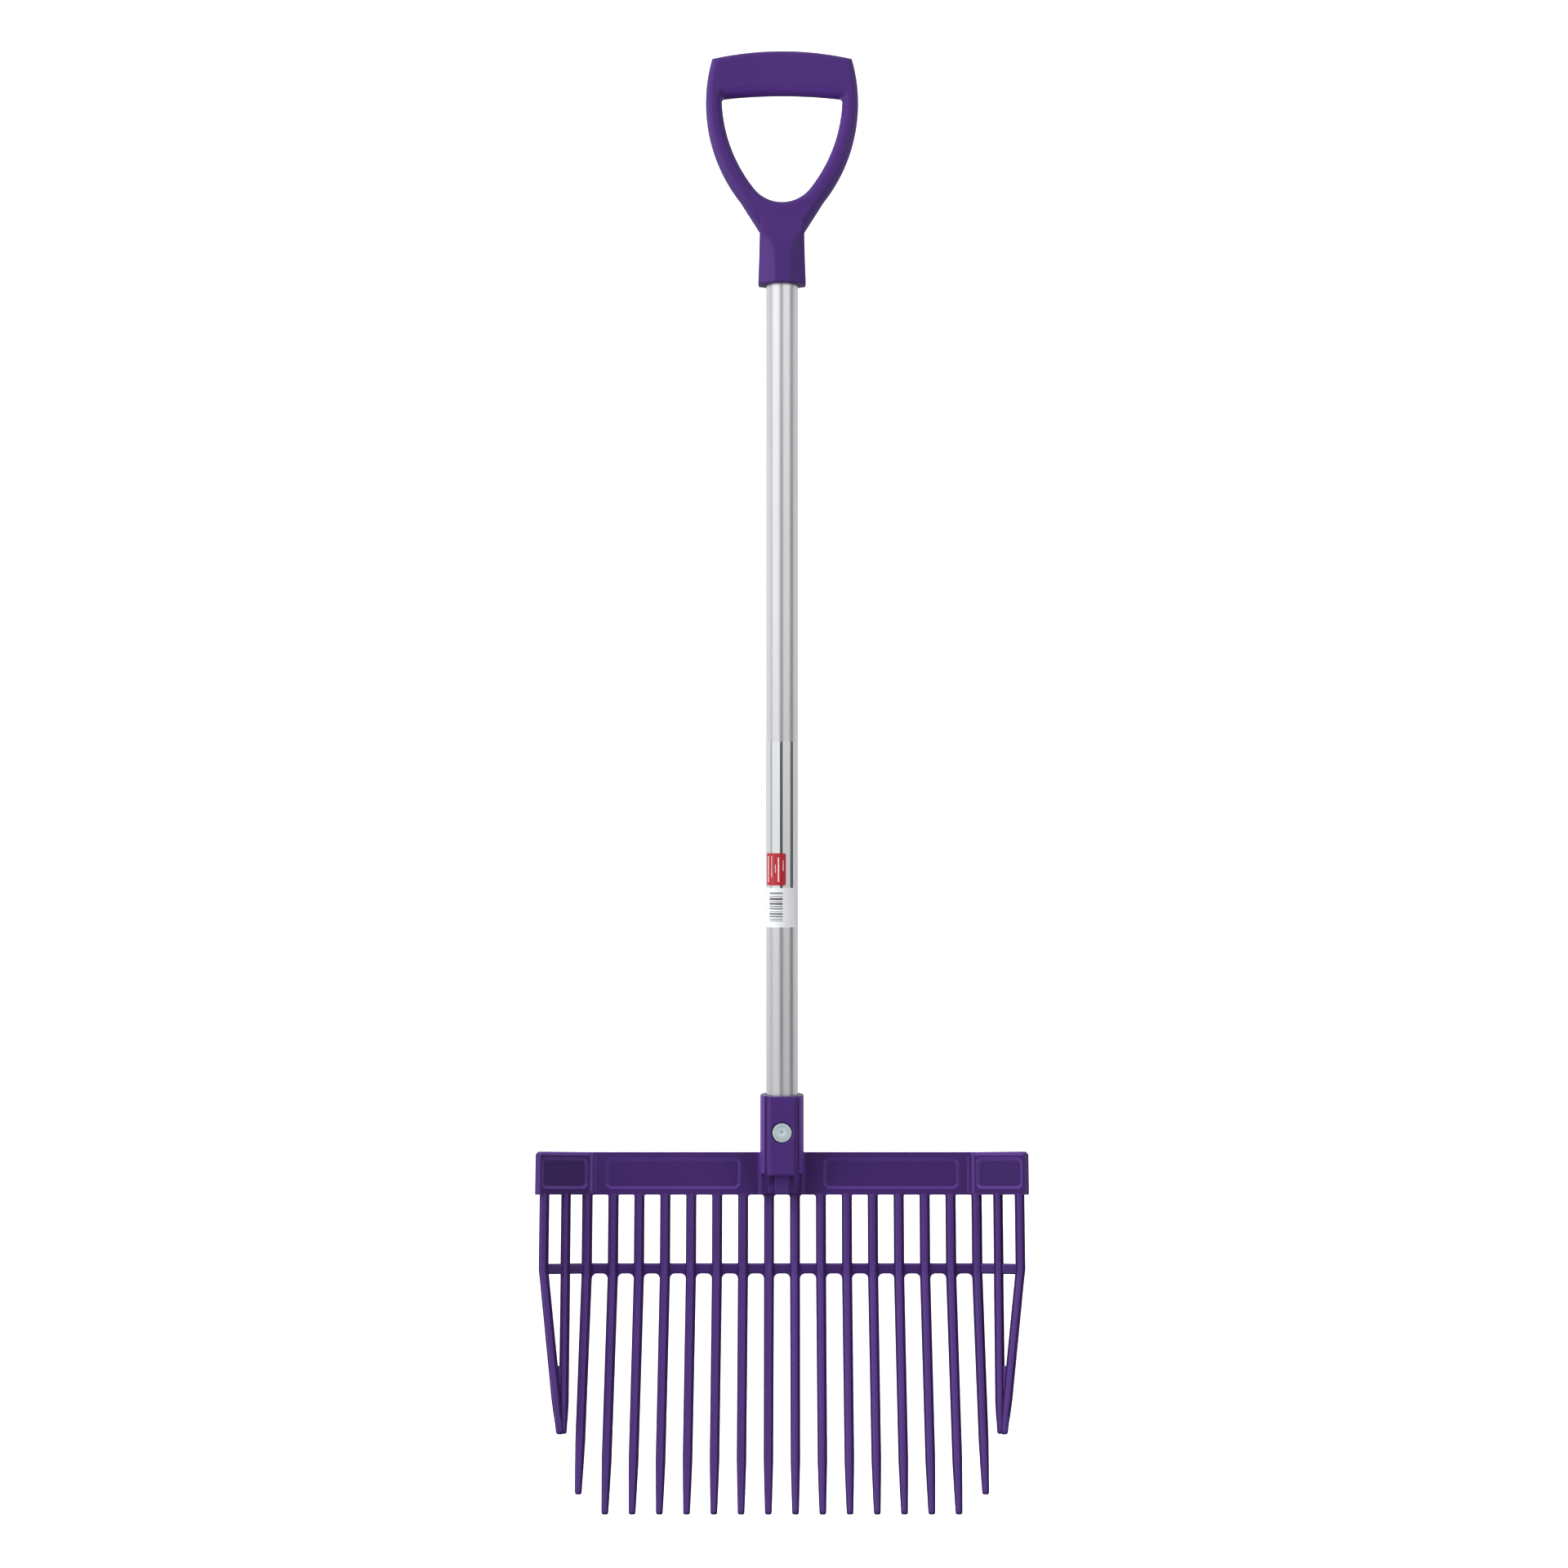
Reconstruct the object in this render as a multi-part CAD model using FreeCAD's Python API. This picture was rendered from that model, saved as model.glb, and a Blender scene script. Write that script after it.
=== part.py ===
import FreeCAD, Part
import math
import os

from FreeCAD import Rotation, Vector

# Bedding fork: a one-piece moulded fork head and a moulded D-grip on a straight aluminium tube.
# Millimetres. The shaft runs down the Z axis, the hollow front of the head faces -Y, and the
# origin is where a peg carries the hanging fork, under the middle of the grip bar.

# Clearances, and how far a cutting shape runs past what it cuts
fit_gap = 0.1                   # all round the tube in its sockets
screw_gap = 0.25                # all round a bolt or screw in its hole
overrun = 6.0

# Shaft tube
tube_diameter = 25.4
tube_wall = 1.5
tube_between_sockets = 641.5
tube_in_grip = 38.0
tube_in_head = 57.0

# D-grip
grip_bar_height = 35.0
grip_half_width = 60.6
grip_neck_below_bar = 109.5     # from the bar's underside down to the neck
grip_neck_half_width = 17.6
grip_neck_half_depth = 18.2
grip_mouth_below_bar = 151.2    # from the bar's underside down to the socket's mouth
grip_mouth_half_width = 19.0
grip_half_depth = 13.4          # of the bar and the arms
grip_edge_size = 4.8            # rounding along the bar and the arms, made of two bevels
grip_swell_height = 19.0        # above the neck, where the socket's body runs up into the arms
grip_facet_start = 19.0         # from the neck down to where the socket's facets are whole
grip_facet_flat = 11.0          # width of the flat strip between the facets
grip_facet_angle = 40.0         # degrees between a facet and the strip
grip_mouth_bevel = 1.2
window_half_width = 47.9
window_height = 85.4
window_corner = 2.8
# Points down the grip's side: shares of its half width, and of the depth of its neck
grip_side_shares = ((0.92, -0.262), (0.962, 0.274), (0.547, 0.777))
# Points down the window's side: shares of its half width, and of its height
window_side_shares = ((1.0, 0.033), (0.905, 0.39), (0.522, 0.82))
# Inset and depth of the lines between the bevels, as shares of the rounding
grip_edge_shares = ((0.64, 0.0), (0.2, 0.2), (0.0, 0.64))

# Head socket
socket_radius = 17.3
socket_floor = 4.6              # closed end below the tube
socket_pad_width = 19.6         # flat boss down the front and the back
socket_front_pad = 18.8         # from the shaft's axis to the face of the front boss
socket_back_pad = 20.6
socket_rim_bevel = 1.3
socket_pad_bevel = 0.6
socket_flare = 2.4              # how much wider the socket's root is where the crossbar meets it
socket_flare_front = 6.5
socket_ledge_width = 24.6       # ledge across the front of the socket's end
socket_ledge_height = 2.6
socket_block_width = 11.4       # stepped block under the ledge
socket_block_front = 10.5
socket_block_height = 10.5
socket_gusset_width = 2.4
socket_gusset_spacing = 23.6

# Crossbar: a channel open to the back, measured before the head is pitched
head_pitch = 8.5                # degrees that the head leans, its lower end to the front
crossbar_below_rim = 62.7       # from the socket's rim down to the middle of the crossbar
crossbar_height = 33.7
crossbar_depth = 8.8
crossbar_wall = 3.2
crossbar_lip = 2.6
crossbar_rib = 2.2
crossbar_setback = 1.0          # the front face lies this far behind the shaft's axis
wing_angle = 34.0               # degrees that each end folds to the front
wing_fold = 149.0               # from the middle to the start of the fold
wing_fold_radius = 7.0
wing_span = 40.6                # of each wing past the fold's start, seen from the front
wing_bevel = 2.2
recess_depth = 0.9
recess_corner = 4.0
main_recess_width = 105.0
main_recess_height = 22.4
main_recess_middle = 86.6
wing_recess_margin = 2.3        # left at each side of the recess on the wing
wing_recess_height = 22.0

# Cross rung
rung_below_crossbar = 53.5      # between the crossbar and the rung
rung_height = 8.2
rung_depth = 5.6
rung_setback = 2.0              # behind the front of the crossbar
rung_end_inset = 3.8            # how far its ends stop short of the wings' ends
arch_corner = 4.0
root_corner = 2.0

# Tines, numbered outwards from the middle of the head
tine_pitch = 20.6
straight_tines = 8              # on each side of the middle; two more stand on each wing
outer_tine_clearance = 2.8      # from the wing's end to the centre line of its outer tine
tine_width = 8.1
wing_tine_width = 7.4
tine_depth = 8.4
tine_crown = 2.4                # rise of the bevelled front
tine_crest_share = 0.42         # width of the flat crest between the bevels
tine_bend = 22.6                # degrees that the tines bend to the front below the rung
tine_bend_below_rung = 0.6
tine_root = 1.8                 # how far a tine runs up into the crossbar
tine_length = 191.0             # below the bend
tine_taper = 42.0
wing_tine_taper = 26.0
tine_taper_width = 7.5
tine_taper_depth = 7.6
tine_tip_width = 5.4
tine_tip_depth = 5.4
tine_tip_bevel = 1.8
tine_tip_end_share = 0.5        # size of the blunt end, of the tip's width and depth
eighth_tine_length = 173.5
ninth_tine_length = 124.0
ninth_tine_inset = 3.7          # how far its tip lies inwards of its root
outer_tine_length = 121.3
outer_tine_inset = 16.8
outer_tine_bend = 18.9
tine_web_start_share = 0.57     # down the two outer tines, where the web that joins them starts
tine_web_end_share = 0.98
tine_web_thickness = 5.0

# Head bolt, its locking nut and the ring in the nut
bolt_below_rim = 28.4
bolt_diameter = 8.0
bolt_length = 40.0
bolt_head_diameter = 15.0
bolt_head_height = 3.1
bolt_head_bevel = 0.8
bolt_key_width = 5.0
bolt_key_depth = 1.9
bolt_point_bevel = 0.8
counterbore_diameter = 16.4
counterbore_depth = 3.4
counterbore_bevel = 0.5
nut_width = 13.0
nut_height = 8.0
nut_bevel = 0.7
nut_collar_height = 1.8
nut_collar_diameter = 12.0
nut_pocket_depth = 5.4
nut_ring_height = 1.5
nut_ring_diameter = 10.4

# Grip screw, driven from behind
grip_screw_above_mouth = 16.0
grip_screw_diameter = 4.2
grip_screw_length = 14.0
grip_screw_point = 3.0
grip_screw_head_diameter = 8.2
grip_screw_head_height = 2.6
grip_screw_head_bevel = 0.8
grip_screw_seat = 2.2
grip_screw_slot_width = 1.1
grip_screw_slot_length = 4.4
grip_screw_slot_depth = 1.3

# Label film round the tube, and the paper sticker over its lower end
film_gap = 0.15                 # between the tube and the film, and between film and sticker
film_thickness = 0.2
film_below_grip = 361.9         # from the grip's mouth to the film's upper edge
film_height = 147.0
film_edge_angle = 54.0          # degrees from the front round to the film's right edge
film_wrap_angle = 250.0
sticker_thickness = 0.2
sticker_height = 31.1
sticker_edge_angle = 50.0
sticker_wrap_angle = 120.0
sticker_above_edge = 0.4        # the film shows this much below the sticker

# Places worked out from the sizes above
tube_radius = tube_diameter / 2
tube_bore = tube_radius - tube_wall
grip_mouth_z = -grip_mouth_below_bar
grip_neck_z = -grip_neck_below_bar
grip_screw_z = grip_mouth_z + grip_screw_above_mouth
tube_top_z = grip_mouth_z + tube_in_grip
rim_z = grip_mouth_z - tube_between_sockets
tube_end_z = rim_z - tube_in_head
socket_end_z = tube_end_z - socket_floor
bolt_z = rim_z - bolt_below_rim
crossbar_z = rim_z - crossbar_below_rim
crossbar_top_z = crossbar_z + crossbar_height / 2
crossbar_low_z = crossbar_z - crossbar_height / 2
rung_top_z = crossbar_low_z - rung_below_crossbar
rung_low_z = rung_top_z - rung_height
bend_z = rung_low_z - tine_bend_below_rung
wing_turn = math.radians(wing_angle)
wing_start = wing_fold + wing_fold_radius * math.sin(wing_turn)
wing_reach = wing_fold + wing_span
wing_length = (wing_reach - wing_start) / math.cos(wing_turn)
film_radius = tube_radius + film_gap
sticker_radius = film_radius + film_thickness + film_gap


# Small helpers

def line(a, b):
    return Part.makeLine(a, b)


def arc(a, b, c):
    return Part.Arc(a, b, c).toShape()


def closed_face(edges):
    return Part.Face(Part.Wire(edges))


def polygon_face(points):
    return Part.Face(Part.makePolygon(points + points[:1]))


def front_point(x, z):
    return Vector(x, 0, z)


def swung(vector, degrees):
    """A direction turned about the X axis; a positive angle swings what hangs down to the front."""
    return Rotation(Vector(-1, 0, 0), degrees).multVec(vector)


def across(face, y_from, y_to):
    """Extrudes a face drawn at Y = 0 from one depth to another."""
    solid = face.extrude(Vector(0, y_to - y_from, 0))
    solid.translate(Vector(0, y_from, 0))
    return solid


def box_between(low, high):
    size = high - low
    return Part.makeBox(size.x, size.y, size.z, low)


def cylinder_y(radius, y_from, y_to, z):
    return Part.makeCylinder(radius, y_to - y_from, Vector(0, y_from, z), Vector(0, 1, 0))


def cylinder_z(radius, z_from, z_to):
    return Part.makeCylinder(radius, z_to - z_from, Vector(0, 0, z_from))


def hexagon_face(width):
    radius = width / math.sqrt(3)
    turns = [math.radians(60 * i) for i in range(6)]
    return polygon_face([front_point(radius * math.cos(t), radius * math.sin(t)) for t in turns])


def mirrored(shape):
    return shape.mirror(Vector(0, 0, 0), Vector(1, 0, 0))


def rounded_rectangle(width, height, corner):
    """A face at Y = 0 about the origin, with four rounded corners."""
    bow = corner * (1 - math.sqrt(0.5))
    edges = []
    for sx, sz in ((1, 1), (1, -1), (-1, -1), (-1, 1)):
        x, z = sx * width / 2, sz * height / 2
        upright = front_point(x, z - sz * corner)
        level = front_point(x - sx * corner, z)
        bend = front_point(x - sx * bow, z - sz * bow)
        first, last = (level, upright) if sx == sz else (upright, level)
        if edges:
            edges.append(line(edges[-1].Vertexes[-1].Point, first))
        edges.append(arc(first, bend, last))
    edges.append(line(edges[-1].Vertexes[-1].Point, edges[0].Vertexes[0].Point))
    return closed_face(edges)


def one_solid(shape):
    """The cleaned result of a fusion, which has to be a single solid."""
    clean = shape.removeSplitter()
    if len(clean.Solids) != 1:
        raise ValueError("expected one solid and got %d" % len(clean.Solids))
    return clean.Solids[0]


# D-grip

def mirrored_points(points):
    return [Vector(-p.x, p.y, p.z) for p in points]


def grip_front_face():
    """The D seen from the front, from the bar down to the neck."""
    right = [front_point(x * grip_half_width, -z * grip_neck_below_bar) for x, z in grip_side_shares]
    left = mirrored_points(right)
    neck = front_point(grip_neck_half_width, grip_neck_z)
    left_neck = front_point(-grip_neck_half_width, grip_neck_z)
    return closed_face([
        arc(left[0], front_point(0, grip_bar_height), right[0]),
        arc(right[0], right[1], right[2]),
        line(right[2], neck),
        line(neck, left_neck),
        line(left_neck, left[2]),
        arc(left[2], left[1], left[0]),
    ])


def along_edge(edge, distance):
    """A point on an edge; a negative distance is measured back from its end."""
    length = distance if distance > 0 else edge.Length + distance
    return edge.valueAt(edge.getParameterByLength(length))


def window_face():
    """The opening: a shallow arch on top, two bowed sides and a round foot, with small top corners."""
    right = [front_point(x * window_half_width, -z * window_height) for x, z in window_side_shares]
    left = mirrored_points(right)
    top = arc(left[0], front_point(0, 0), right[0])
    side = arc(right[0], right[1], right[2])
    level = along_edge(top, -window_corner)
    upright = along_edge(side, window_corner)
    bend = (level + upright + right[0] * 2) * 0.25
    left_level, left_bend, left_upright = mirrored_points([level, bend, upright])
    return closed_face([
        arc(left_level, front_point(0, 0), level),
        arc(level, bend, upright),
        arc(upright, right[1], right[2]),
        arc(right[2], front_point(0, -window_height), left[2]),
        arc(left[2], mirrored_points(right)[1], left_upright),
        arc(left_upright, left_bend, left_level),
    ])


def bevelled_prism(face, inwards):
    """A prism as deep as the grip whose outline draws in, or spreads, towards its front and back."""
    front = []
    for inset, depth in grip_edge_shares:
        ring = face.OuterWire
        if inset > 0:
            ring = ring.makeOffset2D(-inwards * inset * grip_edge_size, 2)
        ring.translate(Vector(0, depth * grip_edge_size - grip_half_depth, 0))
        front.append(ring)
    back = []
    for ring, (inset, depth) in zip(front, grip_edge_shares):
        ring = ring.copy()
        ring.translate(Vector(0, 2 * (grip_half_depth - depth * grip_edge_size), 0))
        back.append(ring)
    return Part.makeLoft(front + back[::-1], True, True)


def grip_socket_ring(flat, half_width, half_depth, shoulder, z):
    """An eight-sided section: flats at the front and back, sides, and facets between them."""
    quarter = [(flat, half_depth), (half_width, shoulder)]
    ring = [(x, -y) for x, y in quarter] + [(x, y) for x, y in reversed(quarter)]
    ring += [(-x, y) for x, y in quarter] + [(-x, -y) for x, y in reversed(quarter)]
    return Part.makePolygon([Vector(x, y, z) for x, y in ring + ring[:1]])


def grip_socket():
    """The socket below the neck, where slanting facets run out into the front of the arms."""
    flat = grip_facet_flat / 2
    fall = math.tan(math.radians(grip_facet_angle))
    start_z = grip_neck_z - grip_facet_start
    start_share = (start_z - grip_neck_z) / (grip_mouth_z - grip_neck_z)
    start_half_width = (grip_neck_half_width
                        + start_share * (grip_mouth_half_width - grip_neck_half_width))
    neck_flat = grip_neck_half_width - grip_edge_size
    top_depth = grip_half_depth - fit_gap
    rings = [grip_socket_ring(neck_flat, grip_neck_half_width, top_depth, top_depth - grip_edge_size,
                              grip_neck_z + grip_swell_height),
             grip_socket_ring(neck_flat, grip_neck_half_width, grip_neck_half_depth,
                              grip_neck_half_depth - grip_edge_size, grip_neck_z)]
    places = ((start_half_width, grip_neck_half_depth, start_z),
              (grip_mouth_half_width, grip_neck_half_depth, grip_mouth_z + grip_mouth_bevel),
              (grip_mouth_half_width - grip_mouth_bevel, grip_neck_half_depth - grip_mouth_bevel,
               grip_mouth_z))
    for half_width, half_depth, z in places:
        shoulder = half_depth - (half_width - flat) * fall
        rings.append(grip_socket_ring(flat, half_width, half_depth, shoulder, z))
    return Part.makeLoft(rings, True, True)


def make_d_grip():
    frame = bevelled_prism(grip_front_face(), 1).fuse(grip_socket())
    grip = one_solid(frame.cut(bevelled_prism(window_face(), -1)))
    bore = cylinder_z(tube_radius + fit_gap, grip_mouth_z - overrun, tube_top_z)
    screw_hole = cylinder_y(grip_screw_diameter / 2 + screw_gap, 0, grip_neck_half_depth + overrun,
                            grip_screw_z)
    seat_y = grip_neck_half_depth - grip_screw_seat
    seat = cylinder_y(grip_screw_head_diameter / 2 + screw_gap, seat_y,
                      grip_neck_half_depth + overrun, grip_screw_z)
    return grip.cut([bore, screw_hole, seat])


# Shaft tube

def make_shaft_tube():
    tube = cylinder_z(tube_radius, tube_end_z, tube_top_z)
    bolt_hole = cylinder_y(bolt_diameter / 2 + screw_gap, -tube_diameter, tube_diameter, bolt_z)
    screw_hole = cylinder_y(grip_screw_diameter / 2, 0, tube_diameter, grip_screw_z)
    bore = cylinder_z(tube_bore, tube_end_z - overrun, tube_top_z + overrun)
    return tube.cut([bore, bolt_hole, screw_hole])


# Fork head: the crossbar, its wings and the rung follow one folded line seen from above

def panel_y(x, offset):
    """Depth of the folded line at x, at a distance behind the crossbar's front face."""
    radius = wing_fold_radius + offset
    centre_y = crossbar_setback - wing_fold_radius
    beyond = abs(x) - wing_fold
    if beyond <= 0:
        return crossbar_setback + offset
    if beyond < radius * math.sin(wing_turn):
        return centre_y + math.sqrt(radius ** 2 - beyond ** 2)
    return (centre_y + radius * math.cos(wing_turn)
            - (beyond - radius * math.sin(wing_turn)) * math.tan(wing_turn))


def wing_frame(offset, along):
    """A point on the right wing, at an offset behind its front and a distance past the fold."""
    radius = wing_fold_radius + offset
    fold_y = crossbar_setback - wing_fold_radius
    return Vector(wing_fold + radius * math.sin(wing_turn) + along * math.cos(wing_turn),
                  fold_y + radius * math.cos(wing_turn) - along * math.sin(wing_turn), 0)


def folded_line(offset, inset):
    """Edges from the left wing's end to the right wing's end."""
    radius = wing_fold_radius + offset
    half_turn = wing_turn / 2
    middle_of_fold = Vector(wing_fold + radius * math.sin(half_turn),
                            crossbar_setback - wing_fold_radius + radius * math.cos(half_turn), 0)
    right = [Vector(wing_fold, crossbar_setback + offset, 0), middle_of_fold,
             wing_frame(offset, 0), wing_frame(offset, wing_length - inset)]
    left = mirrored_points(right)
    return [
        line(left[3], left[2]),
        arc(left[2], left[1], left[0]),
        line(left[0], right[0]),
        arc(right[0], right[1], right[2]),
        line(right[2], right[3]),
    ]


def folded_strip(near, far, low_z, high_z, inset=0):
    """A strip along the folded line, between two offsets and two heights."""
    front = folded_line(near, inset)
    back = folded_line(far, inset)
    ends = [line(front[0].Vertexes[0].Point, back[0].Vertexes[0].Point),
            line(front[-1].Vertexes[-1].Point, back[-1].Vertexes[-1].Point)]
    face = closed_face(Part.sortEdges(front + back + ends)[0])
    face.translate(Vector(0, 0, low_z))
    return face.extrude(Vector(0, 0, high_z - low_z))


def on_wing(shape, offset, along, z):
    """Turns a shape made at the origin into the right wing's plane and sets it there."""
    place = wing_frame(offset, along)
    shape.rotate(Vector(0, 0, 0), Vector(0, 0, 1), -wing_angle)
    shape.translate(Vector(place.x, place.y, z))
    return shape


def tine_places():
    """X of each tine on the right, outwards from the middle."""
    places = [(i + 0.5) * tine_pitch for i in range(straight_tines)]
    outer = wing_reach - outer_tine_clearance
    return places + [(places[-1] + outer) / 2, outer]


def crossbar():
    """A front wall with lips all round and a rib behind each tine, bevelled along the wings' top."""
    bar = folded_strip(0, crossbar_depth, crossbar_low_z, crossbar_top_z)
    wing_tops = [e for e in bar.Edges
                 if abs(e.BoundBox.ZMin - crossbar_top_z) < fit_gap
                 and abs(e.CenterOfMass.x) > wing_start
                 and e.Length > wing_length - fit_gap
                 and e.CenterOfMass.y < panel_y(e.CenterOfMass.x, crossbar_depth / 2)]
    bar = bar.makeChamfer(wing_bevel, wing_tops)
    hollow = folded_strip(crossbar_wall, crossbar_depth + overrun, crossbar_low_z + crossbar_lip,
                          crossbar_top_z - crossbar_lip - wing_bevel, crossbar_lip)
    bar = bar.cut(hollow)
    ribs = []
    for x in tine_places()[:-1]:
        rib = box_between(Vector(x - crossbar_rib / 2, panel_y(x, crossbar_wall / 2), crossbar_low_z),
                          Vector(x + crossbar_rib / 2, panel_y(x, crossbar_depth - fit_gap), crossbar_top_z))
        ribs += [rib, mirrored(rib)]
    back = folded_strip(crossbar_wall / 2, crossbar_depth, crossbar_low_z, crossbar_top_z - wing_bevel)
    ribs = [rib.common(back) for rib in ribs]
    recess = rounded_rectangle(main_recess_width, main_recess_height, recess_corner)
    recess = across(recess, crossbar_setback - overrun, crossbar_setback + recess_depth)
    recess.translate(Vector(main_recess_middle, 0, crossbar_z))
    wing_recess_width = wing_length - 2 * wing_recess_margin
    wing_recess = rounded_rectangle(wing_recess_width, wing_recess_height, recess_corner)
    wing_recess = on_wing(across(wing_recess, -overrun, recess_depth), 0, wing_length / 2, crossbar_z)
    cuts = [recess, mirrored(recess), wing_recess, mirrored(wing_recess)]
    return bar.multiFuse(ribs).cut(cuts)


def arched_web(low_z, high_z, corner, gap_centres):
    """Material under an edge, with a slot cut up into it between each pair of tines."""
    reach = gap_centres[-1] + tine_pitch / 2
    web = folded_strip(rung_setback, rung_setback + rung_depth, low_z, high_z)
    side = box_between(Vector(-reach, -wing_reach, low_z - overrun), Vector(reach, wing_reach, high_z))
    web = web.common(side)
    gap = tine_pitch - tine_width
    slots = []
    for x in gap_centres:
        height = 2 * (high_z - low_z) + 2 * overrun
        slot = across(rounded_rectangle(gap, height, corner), -wing_reach, wing_reach)
        slot.translate(Vector(x, 0, high_z - height / 2))
        slots.append(slot)
    return web.cut(slots)


def gap_centres(count):
    """X of the gaps between straight tines, the middle one and so many on each side of it."""
    return [i * tine_pitch for i in range(-count, count + 1)]


def tine_section(width, depth, crown, centre, lean):
    """A flat back, straight sides and a bevelled front, in a plane across the tine."""
    to_back = swung(Vector(0, 1, 0), lean)
    half = Vector(width / 2, 0, 0)
    back = centre + to_back * (depth / 2)
    shoulder = centre - to_back * (depth / 2 - crown)
    crest = centre - to_back * (depth / 2)
    ridge = half * tine_crest_share
    points = [back - half, back + half, shoulder + half, crest + ridge, crest - ridge, shoulder - half]
    return Part.makePolygon(points + points[:1])


def tine_line(x, length, bend, inset):
    """The bend and the tip of a tine, on its centre line."""
    corner = Vector(x, panel_y(x, crossbar_depth / 2), bend_z)
    return corner, corner + swung(Vector(0, 0, -1), bend) * length + Vector(-inset, 0, 0)


def make_tine(x, width, taper_width, length, bend, inset, taper_length):
    """One tine: straight down to the bend, then to the front, tapering to a blunt tip."""
    corner, tip = tine_line(x, length, bend, inset)
    root = Vector(corner.x, corner.y, crossbar_low_z + tine_root)
    slope = (tip - corner).normalize()
    taper = tip - slope * taper_length
    end = tip - slope * tine_tip_bevel
    mitre = tine_depth / math.cos(math.radians(bend / 2))
    tip_crown = tine_tip_depth * tine_crown / tine_depth
    share = tine_tip_end_share
    sections = [
        tine_section(width, tine_depth, tine_crown, root, 0),
        tine_section(width, mitre, tine_crown, corner, bend / 2),
        tine_section(taper_width, tine_taper_depth, tine_crown, taper, bend),
        tine_section(tine_tip_width, tine_tip_depth, tip_crown, end, bend),
        tine_section(tine_tip_width * share, tine_tip_depth * share, tip_crown * share, tip, bend),
    ]
    return Part.makeLoft(sections, True, True)


def tine_web():
    """The thin web in the V where the two outer tines of a wing run together."""
    ninth_x, outer_x = tine_places()[-2:]
    inner = tine_line(ninth_x, ninth_tine_length, tine_bend, ninth_tine_inset)
    outer = tine_line(outer_x, outer_tine_length, outer_tine_bend, outer_tine_inset)
    half = swung(Vector(0, tine_web_thickness / 2, 0), tine_bend)
    ends = []
    for share in (tine_web_start_share, tine_web_end_share):
        near = inner[0] + (inner[1] - inner[0]) * share
        far = outer[0] + (outer[1] - outer[0]) * share
        points = [near - half, far - half, far + half, near + half]
        ends.append(Part.makePolygon(points + points[:1]))
    return Part.makeLoft(ends, True, True)


def all_tines():
    """Every tine, with the webs between the outer ones."""
    places = tine_places()
    tines = [make_tine(x, tine_width, tine_taper_width, tine_length, tine_bend, 0, tine_taper)
             for x in places[:-3]]
    tines.append(make_tine(places[-3], tine_width, tine_taper_width, eighth_tine_length, tine_bend,
                           0, tine_taper))
    tines.append(make_tine(places[-2], wing_tine_width, wing_tine_width, ninth_tine_length, tine_bend,
                           ninth_tine_inset, wing_tine_taper))
    tines.append(make_tine(places[-1], wing_tine_width, wing_tine_width, outer_tine_length,
                           outer_tine_bend, outer_tine_inset, wing_tine_taper))
    tines.append(tine_web())
    return tines + [mirrored(tine) for tine in tines]


def pitched(shape):
    """Leans the crossbar, rung and tines about the middle of the crossbar."""
    turned = shape.copy()
    turned.rotate(Vector(0, 0, crossbar_z), Vector(-1, 0, 0), head_pitch)
    return turned


def socket_body():
    """The socket's round wall, its two bosses, and the ledge, block and gussets at its end."""
    wall = cylinder_z(socket_radius, socket_end_z, rim_z)
    wall = wall.makeChamfer(socket_rim_bevel, [e for e in wall.Edges if e.BoundBox.ZMin > rim_z - fit_gap])
    half = socket_pad_width / 2
    boss = box_between(Vector(-half, -socket_front_pad, socket_end_z),
                       Vector(half, socket_back_pad, rim_z))
    outer = [e for e in boss.Edges
             if abs(e.CenterOfMass.y) > socket_radius and e.CenterOfMass.z > socket_end_z + fit_gap]
    boss = boss.makeChamfer(socket_pad_bevel, outer)
    half = socket_ledge_width / 2
    ledge = box_between(Vector(-half, -socket_front_pad, socket_end_z),
                        Vector(half, 0, socket_end_z + socket_ledge_height))
    half = socket_block_width / 2
    block = box_between(Vector(-half, -socket_block_front, socket_end_z - socket_block_height),
                        Vector(half, crossbar_depth / 2, socket_end_z + socket_ledge_height / 2))
    gusset = polygon_face([Vector(0, y, z) for y, z in (
        (-socket_front_pad, socket_end_z + socket_ledge_height / 2),
        (-socket_front_pad, socket_end_z),
        (-socket_flare_front, crossbar_low_z + crossbar_lip),
        (crossbar_lip, crossbar_low_z + crossbar_lip),
        (crossbar_lip, socket_end_z + socket_ledge_height / 2),
    )]).extrude(Vector(socket_gusset_width, 0, 0))
    gusset.translate(Vector((socket_gusset_spacing - socket_gusset_width) / 2, 0, 0))
    return wall.multiFuse([boss, ledge, block, gusset, mirrored(gusset)])


def socket_root():
    """The wider foot that carries the socket into the crossbar's front."""
    half = socket_radius + socket_flare
    root = box_between(Vector(-half, -socket_flare_front, crossbar_low_z),
                       Vector(half, crossbar_depth, crossbar_top_z - crossbar_lip))
    slope = [e for e in root.Edges
             if e.BoundBox.ZLength > crossbar_lip and e.CenterOfMass.y < 0]
    return root.makeChamfer(socket_flare_front, slope)


def socket_cuts():
    """The tube's bore, the bolt's hole and counterbore, and the nut's pocket."""
    bore = cylinder_z(tube_radius + fit_gap, tube_end_z, rim_z + overrun)
    hole = cylinder_y(bolt_diameter / 2 + screw_gap, -tube_diameter, tube_diameter, bolt_z)
    counterbore = cylinder_y(counterbore_diameter / 2, -socket_front_pad - overrun,
                             -socket_front_pad + counterbore_depth, bolt_z)
    pocket = across(hexagon_face(nut_width + 2 * fit_gap), socket_back_pad - nut_pocket_depth,
                    socket_back_pad + overrun)
    pocket.translate(Vector(0, 0, bolt_z))
    return [bore, hole, counterbore, pocket]


def counterbore_rim(shape):
    return [e for e in shape.Edges
            if e.BoundBox.YMax < -socket_front_pad + fit_gap
            and abs(e.BoundBox.ZLength - counterbore_diameter) < fit_gap]


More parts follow.
